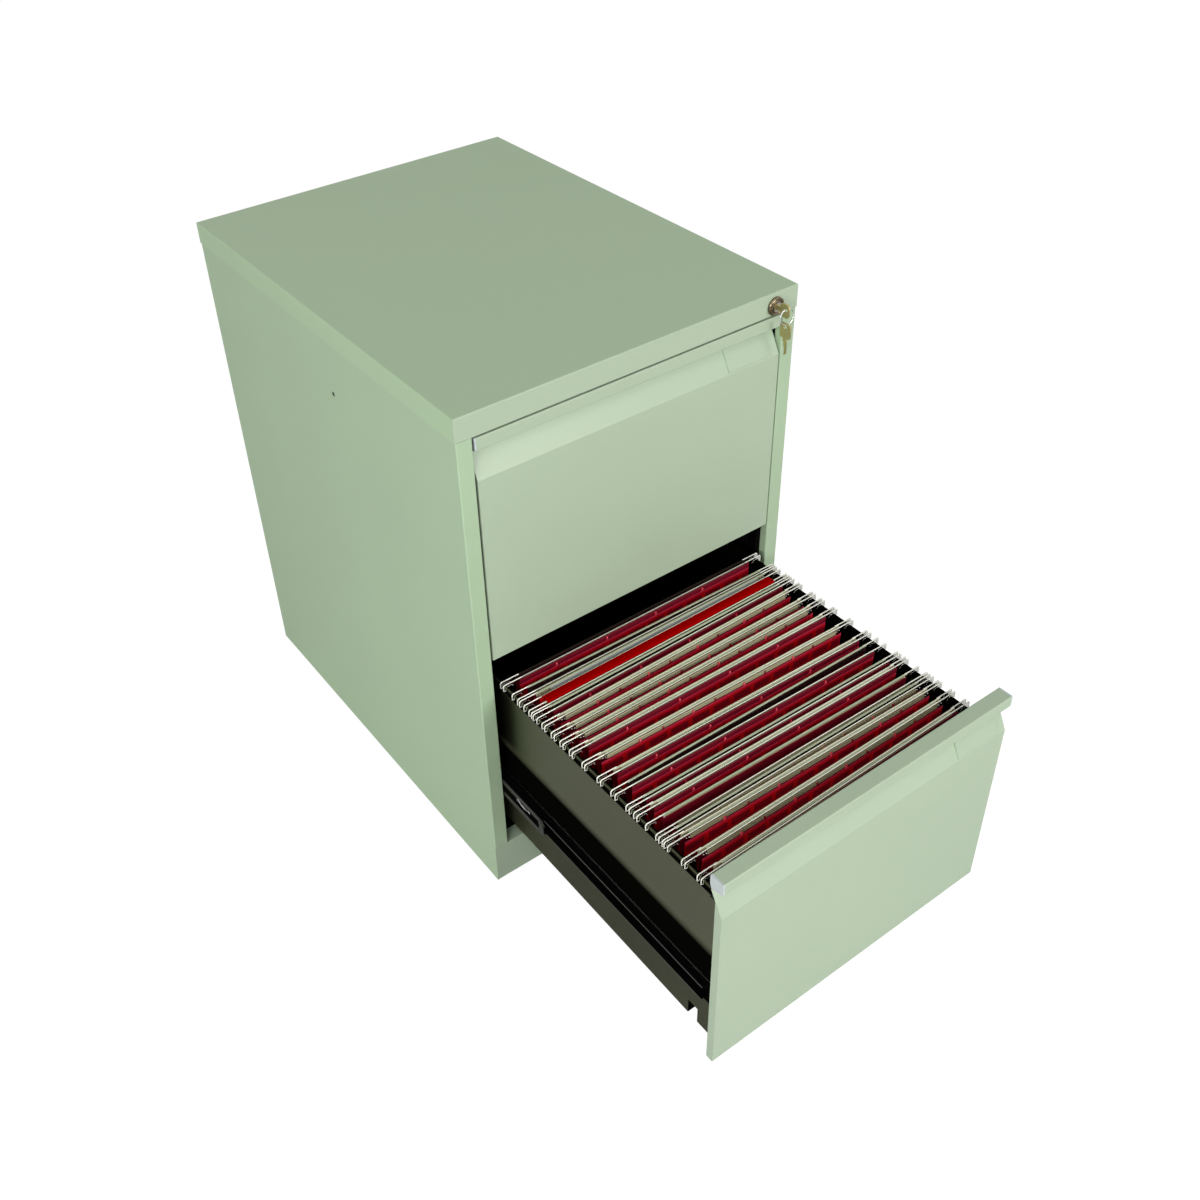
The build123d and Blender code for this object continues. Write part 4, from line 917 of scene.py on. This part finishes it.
def make_balls_tree():
    """A steel ball on every point."""
    nodes, given, result = geometry_tree("balls_on_points", [("Radius", "NodeSocketFloat"),
                                                             ("Material", "NodeSocketMaterial")])
    ball = nodes.add("GeometryNodeMeshIcoSphere", {"Radius": given["Radius"], "Subdivisions": 2})
    smooth = nodes.add("GeometryNodeSetShadeSmooth", {"Geometry": ball.outputs["Mesh"]})
    copies = nodes.add("GeometryNodeInstanceOnPoints", {"Points": given["Geometry"],
                                                        "Instance": smooth.outputs[0]})
    close_tree(nodes, given, result, copies.outputs[0])
    return nodes.tree


COPIES_TREE = make_copies_tree()
BALLS_TREE = make_balls_tree()


def spread_out(name, tree, places, inputs, turns=None, sizes=None):
    """Runs a tree over points in metres and gives the plain mesh that it makes."""
    mesh = bpy.data.meshes.new(name)
    mesh.from_pydata(places, [], [])
    for label, values, default in (("turn", turns, (0.0, 0.0, 0.0)), ("size", sizes, (1.0, 1.0, 1.0))):
        layer = mesh.attributes.new(label, "FLOAT_VECTOR", "POINT")
        for k in range(len(places)):
            layer.data[k].vector = values[k] if values else default
    piece = link(name, mesh)
    modifier = piece.modifiers.new("spread", "NODES")
    modifier.node_group = tree
    for item in tree.interface.items_tree:
        if item.in_out == "INPUT" and item.name in inputs:
            modifier[item.identifier] = inputs[item.name]
    return settled(piece)


def file_place(offset):
    """A place in Y, in metres, from one behind the open drawer's front, in mm."""
    return LOWER_FRONT_Y + offset * MM


def middle_and_turn(ends):
    """A bar's place in the middle of the drawer, and its turn, from its two ends."""
    left, right = ends
    return (left + right) / 2, math.atan2(right - left, BAR_SPAN)


def rear_kind(index):
    """The kind of a file's rear bar, from what shows in the gap before it."""
    gap = FILES[index][3]
    if gap == "bright":
        return "lit"
    return "shaded" if index == len(FILES) - 1 else "wide"


def make_file_bars():
    """The metal bars of all files, each kind in its own row."""
    rows = {kind: [] for kind in ("front", "lit", "wide", "shaded")}
    for index, (front, rear, _, _) in enumerate(FILES):
        rows["front"].append(front)
        rows[rear_kind(index)].append(rear)
    pieces = []
    for kind, row in rows.items():
        shape = make_bar(kind)
        places, turns = [], []
        for ends in row:
            y, turn = middle_and_turn(ends)
            places.append((0.0, file_place(y - RIDGE), BAR_TOP))
            turns.append((0.0, 0.0, turn))
        pieces.append(spread_out("bar_row", COPIES_TREE, places,
                                 {"Shape": shape, "Material": shape.data.materials[0]}, turns))
        bpy.data.objects.remove(shape)
    carried(joined("suspension_bars", pieces), "lower_drawer", "file_bar_steel", "file_bars")


def card_x(column):
    """A column's place along the card, in mm from its middle."""
    return -FOLDER_HALF + 2 * FOLDER_HALF * column / CARD_COLUMNS


def add_card(shape, print_map, ends, ahead, y_foot, top, shift, v_start, bow, whole=True):
    """One wall of a folder: a thin sheet from its top edge to the foot, a little bowed along its length.

    It hangs ahead of its bar's top edge. A v_start under 0 is the V of the whole card, and with 0 the V
    follows the print down the card. A card that isn't whole has only its top rows.
    """
    middle, turn = middle_and_turn(ends)
    rows = CARD_ROWS + (FOOT_DROP - top,) if whole else CARD_ROWS[:SHORT_ROWS]
    sides = []
    for face_y in (0.0, CARD):
        grid = []
        for column in range(CARD_COLUMNS + 1):
            x = card_x(column)
            line = []
            for row in rows:
                down = top + row
                share = min(1.0, max(0.0, (down - STRAIGHT) / (FOOT_DROP - STRAIGHT)))
                wave = bow * math.sin(math.pi * column / CARD_COLUMNS * 3.0 + shift) * min(1.0, row / 16.0)
                y_top = middle + x * math.tan(turn) - ahead
                y = y_top + (y_foot - y_top) * share + wave * (1 - share) + face_y
                line.append(shape.verts.new((x * MM, file_place(y), BAR_TOP - down * MM)))
            grid.append(line)
        sides.append(grid)
    front, back = sides
    last = len(rows) - 1

    def add_face(corners, spots):
        face = shape.faces.new(corners)
        for loop, (column, row) in zip(face.loops, spots):
            v = v_start if v_start < 0 else (top + rows[row] - LINE_DROP) * MM
            loop[print_map].uv = ((card_x(column) + shift * PRINT_SHIFT + PRINT_START) * MM, v)

    def add_edge(spots):
        ring = [front[c][r] for c, r in spots] + [back[c][r] for c, r in reversed(spots)]
        add_face(ring, spots + list(reversed(spots)))

    for column in range(CARD_COLUMNS):
        for row in range(last):
            spots = [(column, row), (column, row + 1), (column + 1, row + 1), (column + 1, row)]
            add_face([front[c][r] for c, r in spots], spots)
            add_face([back[c][r] for c, r in reversed(spots)], list(reversed(spots)))
        for row, order in ((0, 1), (last, -1)):
            add_edge([(column, row), (column + 1, row)][::order])
    for column, order in ((0, 1), (CARD_COLUMNS, -1)):
        for row in range(last):
            add_edge([(column, row), (column, row + 1)][::-order])


def make_file_cards():
    """Each file's front card, its rear card, and the black card of painted shade that closes a dark gap, or
    the card that lines a wide one.
    """
    shape = bmesh.new()
    print_map = shape.loops.layers.uv.new("print")
    for index, (front, rear, cover, gap) in enumerate(FILES):
        middle = (sum(front) + sum(rear)) / 4
        shift = index * CARD_SHIFT
        add_card(shape, print_map, front, ahead=RIDGE + 0.1 + CARD, y_foot=middle - 1.6, top=CARD_TOPS[cover],
                 shift=shift, v_start=UNPRINTED if index == PLAIN_FILE else 0.0, bow=0.5)
        add_card(shape, print_map, rear, ahead=-0.2, y_foot=middle + 1.1, top=3.4,
                 shift=shift + 1.0, v_start=HEM_CARD, bow=0.3)
        if gap == "dark":
            add_card(shape, print_map, rear, ahead=1.5 + CARD, y_foot=middle, top=1.0,
                     shift=shift, v_start=SHADE_CARD, bow=0.0, whole=False)
        if gap == "wide":
            add_card(shape, print_map, rear, ahead=1.6 + CARD, y_foot=middle, top=4.6,
                     shift=shift, v_start=HEM_CARD, bow=0.0, whole=False)
    carried(from_bmesh("folder_cards", shape, FOLDER_RED), "lower_drawer", "folder_card", "file_folders")


def add_tongues(name, shape, bars, along, ahead, drop, size, material):
    """A row of tongues on each bar, so far ahead of and below its top edge, in mm."""
    places, turns = [], []
    for ends in bars:
        middle, turn = middle_and_turn(ends)
        for x in along:
            y = middle - RIDGE + x * math.tan(turn) - ahead
            places.append((x * MM, file_place(y), BAR_TOP - drop * MM))
            turns.append((0.0, 0.0, turn))
    tongues = spread_out(name, COPIES_TREE, places, {"Shape": shape, "Material": material}, turns,
                         [size] * len(places))
    carried(tongues, "lower_drawer", "folder_card")


def make_file_tabs():
    """Small tongues of the hem, bright on the cards and dark where they cross the open strip."""
    outline = [(-0.5, -2.6), (-0.7, -0.6), (-0.2, 0.0), (0.5, 0.0), (0.5, -2.6)]
    shape = pulled("tab_shape", outline, -1.4, 1.4, TAB_PINK)
    bars = [front for front, _, _, _ in FILES]
    open_bars = [front for front, _, cover, _ in FILES if cover == "open"]
    add_tongues("hem_tongues", shape, bars, TABS, ahead=1.1, drop=3.8, size=(0.55, 1.8, 2.2),
                material=TAB_PINK)
    add_tongues("strip_tongues", shape, open_bars, NOTCHES, ahead=0.3, drop=4.0, size=(0.6, 1.8, 1.8),
                material=TONGUE_RED)
    bpy.data.objects.remove(shape)


def make_index_strip():
    """The pale strip that lies between the two bars of one open file."""
    front, rear = next((front, rear) for front, rear, _, gap in FILES if gap == "strip")
    low, high = sum(front) / 2 + 1.4, sum(rear) / 2 - 1.6
    middle = (low + high) / 2
    outline = [(low, -6.6), (low + 0.5, -7.0), (middle, -5.0), (high - 0.4, -1.4), (high - 0.7, -0.9),
               (middle - 0.4, -4.4)]
    place = Matrix.Translation((0.0, file_place(0.0), BAR_TOP))
    carried(pulled("index_strip", outline, -160.0, 168.0, INDEX_GREY, place), "lower_drawer", "label_card")


def make_folder_flap():
    """The plain red flap of a folder, leaning back over the file's rear bar as far as the next file."""
    middle, turn = middle_and_turn(FILES[PLAIN_FILE - 1][0])
    outline = [(0.0, -14.0), (0.3, 0.4), (1.6, 1.5), (6.0, 1.9), (12.6, 1.0), (12.9, 0.5), (6.0, 1.3),
               (1.9, 0.9), (0.9, 0.1), (0.6, -14.0)]
    place = Matrix.Translation((0.0, file_place(middle + 0.9), BAR_TOP)) @ Matrix.Rotation(turn, 4, "Z")
    flap = pulled("folder_flap", outline, -178.0, 178.0, FLAP_RED, place)
    carried(flap, "lower_drawer", "folder_card")


def make_inserted_key():
    """The key in the lock, drawn about the lock's middle."""
    bow = [(-9.0, -3.2), (-9.0, 3.2), (-9.8, 6.6), (-11.6, 8.6), (-20.0, 9.2), (-23.0, 7.0), (-23.8, 3.0),
           (-23.8, -3.0), (-22.6, -6.6), (-19.8, -8.8), (-11.6, -8.0), (-9.8, -6.4)]
    shank = [(15.5, 1.6), (14.0, 3.5), (-10.0, 3.5), (-10.0, -3.5), (5.0, -3.5), (6.5, -2.2), (8.0, -3.2),
             (9.6, -1.8), (11.0, -3.0), (12.6, -1.6), (14.4, -2.4), (15.5, -1.0)]
    place = Matrix.Translation(LOCK) @ UPRIGHT
    outlines = [bow, circle(KEY_HOLE, HOLE_RADIUS)]
    pieces = [plate("bow", outlines, thickness=2.0, bevel=0.3, material=BRASS, place=place),
              plate("shank", [shank], thickness=1.8, bevel=0.25, material=BRASS, place=place)]
    carried(joined("inserted_key", pieces), "lock_key", "key_brass", "lock_key")


def make_key_ring():
    """The wire ring through the key's hole, hanging a little askew."""
    shape = bmesh.new()
    rings = []
    for angle in full_turn(56):
        out = Vector((math.cos(angle), RING_TILT * math.sin(angle), math.sin(angle)))
        centre = RING_MIDDLE + out * RING_RADIUS * MM
        rings.append(tube_ring(shape, centre, out * WIRE_RADIUS * MM, Vector((0, WIRE_RADIUS, 0)) * MM, 10))
    join_rings(shape, rings, closed=True)
    carried(from_bmesh("key_ring", shape, WIRE, smooth=True), "lock_key", "key_brass")


def make_spare_key():
    """The spare key that hangs from the ring, drawn about the hole that the ring goes through."""
    bow = [(-5.0, -12.6), (5.0, -12.6), (7.0, -10.6), (7.0, 2.4), (5.0, 4.4), (-5.0, 4.4), (-7.0, 2.4),
           (-7.0, -10.6)]
    shank = [(-2.3, -12.0), (-2.3, -14.6), (-2.9, -17.0), (-2.9, -29.0), (-1.5, -31.0), (0.0, -31.4),
             (0.4, -29.6), (-0.7, -28.0), (0.4, -26.5), (-0.5, -25.0), (0.7, -23.6), (0.1, -22.0),
             (1.3, -20.6), (1.3, -17.4), (2.7, -16.0), (2.7, -12.0)]
    hang = RING_MIDDLE + Vector((0.0, 0.8, -RING_RADIUS - 3.6)) * MM
    place = Matrix.Translation(hang) @ Matrix.Rotation(0.10, 4, "Z") @ UPRIGHT
    outlines = [scaled(bow, SPARE_SCALE), circle((0.0, 0.0), HOLE_RADIUS)]
    pieces = [plate("bow", outlines, thickness=1.8, bevel=0.3, material=BRASS, place=place),
              plate("shank", [scaled(shank, SPARE_SCALE)], thickness=1.6, bevel=0.25, material=BRASS,
                    place=place)]
    carried(joined("spare_key", pieces), "lock_key", "key_brass")


def make_lock_face():
    """The turned bezel in front of the fascia, with the raised ring inside it, over the hidden barrel."""
    bezel = [(9.0, 0.0), (11.5, 0.0), (11.5, -2.0), (11.2, -3.0), (10.3, -3.8), (9.4, -4.0), (8.9, -3.7),
             (8.6, -3.2), (8.1, -3.0), (7.6, -3.2), (7.2, -3.9), (6.9, -4.0), (6.2, -3.9), (6.05, -3.4),
             (6.05, 20.4), (9.0, 20.4)]
    carried(turned_about_y("lock_bezel", bezel, LOCK, BEZEL_METAL), "cabinet", "lock_nickel", "lock_housing")


def make_balls():
    """The balls that run in each cage's windows."""
    for level in LEVELS:
        for row, (race_x, race_z) in RACES.items():
            low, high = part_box(f"{level}_{row}_ball_cages")
            pitch = (high.y - low.y) / BALLS
            middle_z = (low.z + high.z) / 2
            places = []
            for side in (-1, 1):
                for lift in (-race_z, race_z):
                    for k in range(BALLS):
                        places.append((side * race_x * MM, low.y + pitch * (k + 0.5), middle_z + lift * MM))
            balls = spread_out(f"{level}_{row}_balls", BALLS_TREE, places,
                               {"Radius": BALL_RADIUS * MM, "Material": BALL_STEEL})
            carried(balls, f"{level}_{row}_cages", "ball_steel")


def make_rivets():
    """Rivet heads that hold each drawer runner to its side."""
    shape = bmesh.new()
    bmesh.ops.create_uvsphere(shape, u_segments=12, v_segments=6, radius=RIVET_RADIUS * MM)
    for vert in shape.verts:
        vert.co.x *= RIVET_FLATNESS
    head = from_bmesh("rivet_shape", shape, RUNNER_PAINT, smooth=True)
    for level in LEVELS:
        low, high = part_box(f"{level}_drawer_runner_right")
        middle_z = (low.z + high.z) / 2
        places = []
        for side in (-1, 1):
            for share in RIVET_SHARES:
                places.append((side * (low.x + 1.2 * MM), low.y + (high.y - low.y) * share, middle_z))
        rivets = spread_out(f"{level}_runner_rivets", COPIES_TREE, places,
                            {"Shape": head, "Material": RUNNER_PAINT})
        carried(rivets, f"{level}_drawer", "runner_steel")
    bpy.data.objects.remove(head)


def make_latches():
    """The bent wire and the dark toothed plate near the front end of each middle runner."""
    wire = [(55.5, 8.6), (53.0, 6.6), (47.0, 3.4), (40.0, 3.0), (33.0, 5.6), (29.5, 4.4)]
    teeth = [(0.6, -5.5), (2.6, -9.0), (5.0, -7.8), (6.2, -11.0), (9.0, -9.6), (11.0, -6.0), (10.4, 2.0),
             (12.0, 6.0), (11.0, 11.0), (7.4, 12.6), (6.6, 9.4), (3.8, 9.8), (3.2, 6.4), (1.0, 5.8)]
    half_x, half_z = LATCH_WIRE
    for level in LEVELS:
        low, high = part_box(f"{level}_middle_runner_right")
        middle_z = (low.z + high.z) / 2
        pieces = []
        for side in (-1, 1):
            across, up = Vector((side * half_x, 0.0, 0.0)) * MM, Vector((0.0, 0.0, half_z)) * MM
            start = Vector((side * LATCH_WIRE_X * MM, low.y, middle_z))
            shape = bmesh.new()
            rings = [tube_ring(shape, start + Vector((0.0, y, z)) * MM, across, up, 8) for y, z in wire]
            join_rings(shape, rings, closed=False)
            pieces.append(from_bmesh("wire", shape, BALL_STEEL))
            place = Matrix.Translation((side * LATCH_X * MM, low.y, middle_z)) @ UPRIGHT
            pieces.append(plate("teeth", [teeth], 0.9, 0.2, LATCH_METAL, place))
        carried(joined(f"{level}_runner_latches", pieces), f"{level}_middle_runners", "runner_steel")


dress_frame()
make_latches()
make_file_bars()
make_file_cards()
make_file_tabs()
make_index_strip()
make_folder_flap()
make_inserted_key()
make_key_ring()
make_spare_key()
make_lock_face()
make_balls()
make_rivets()
make_studio()
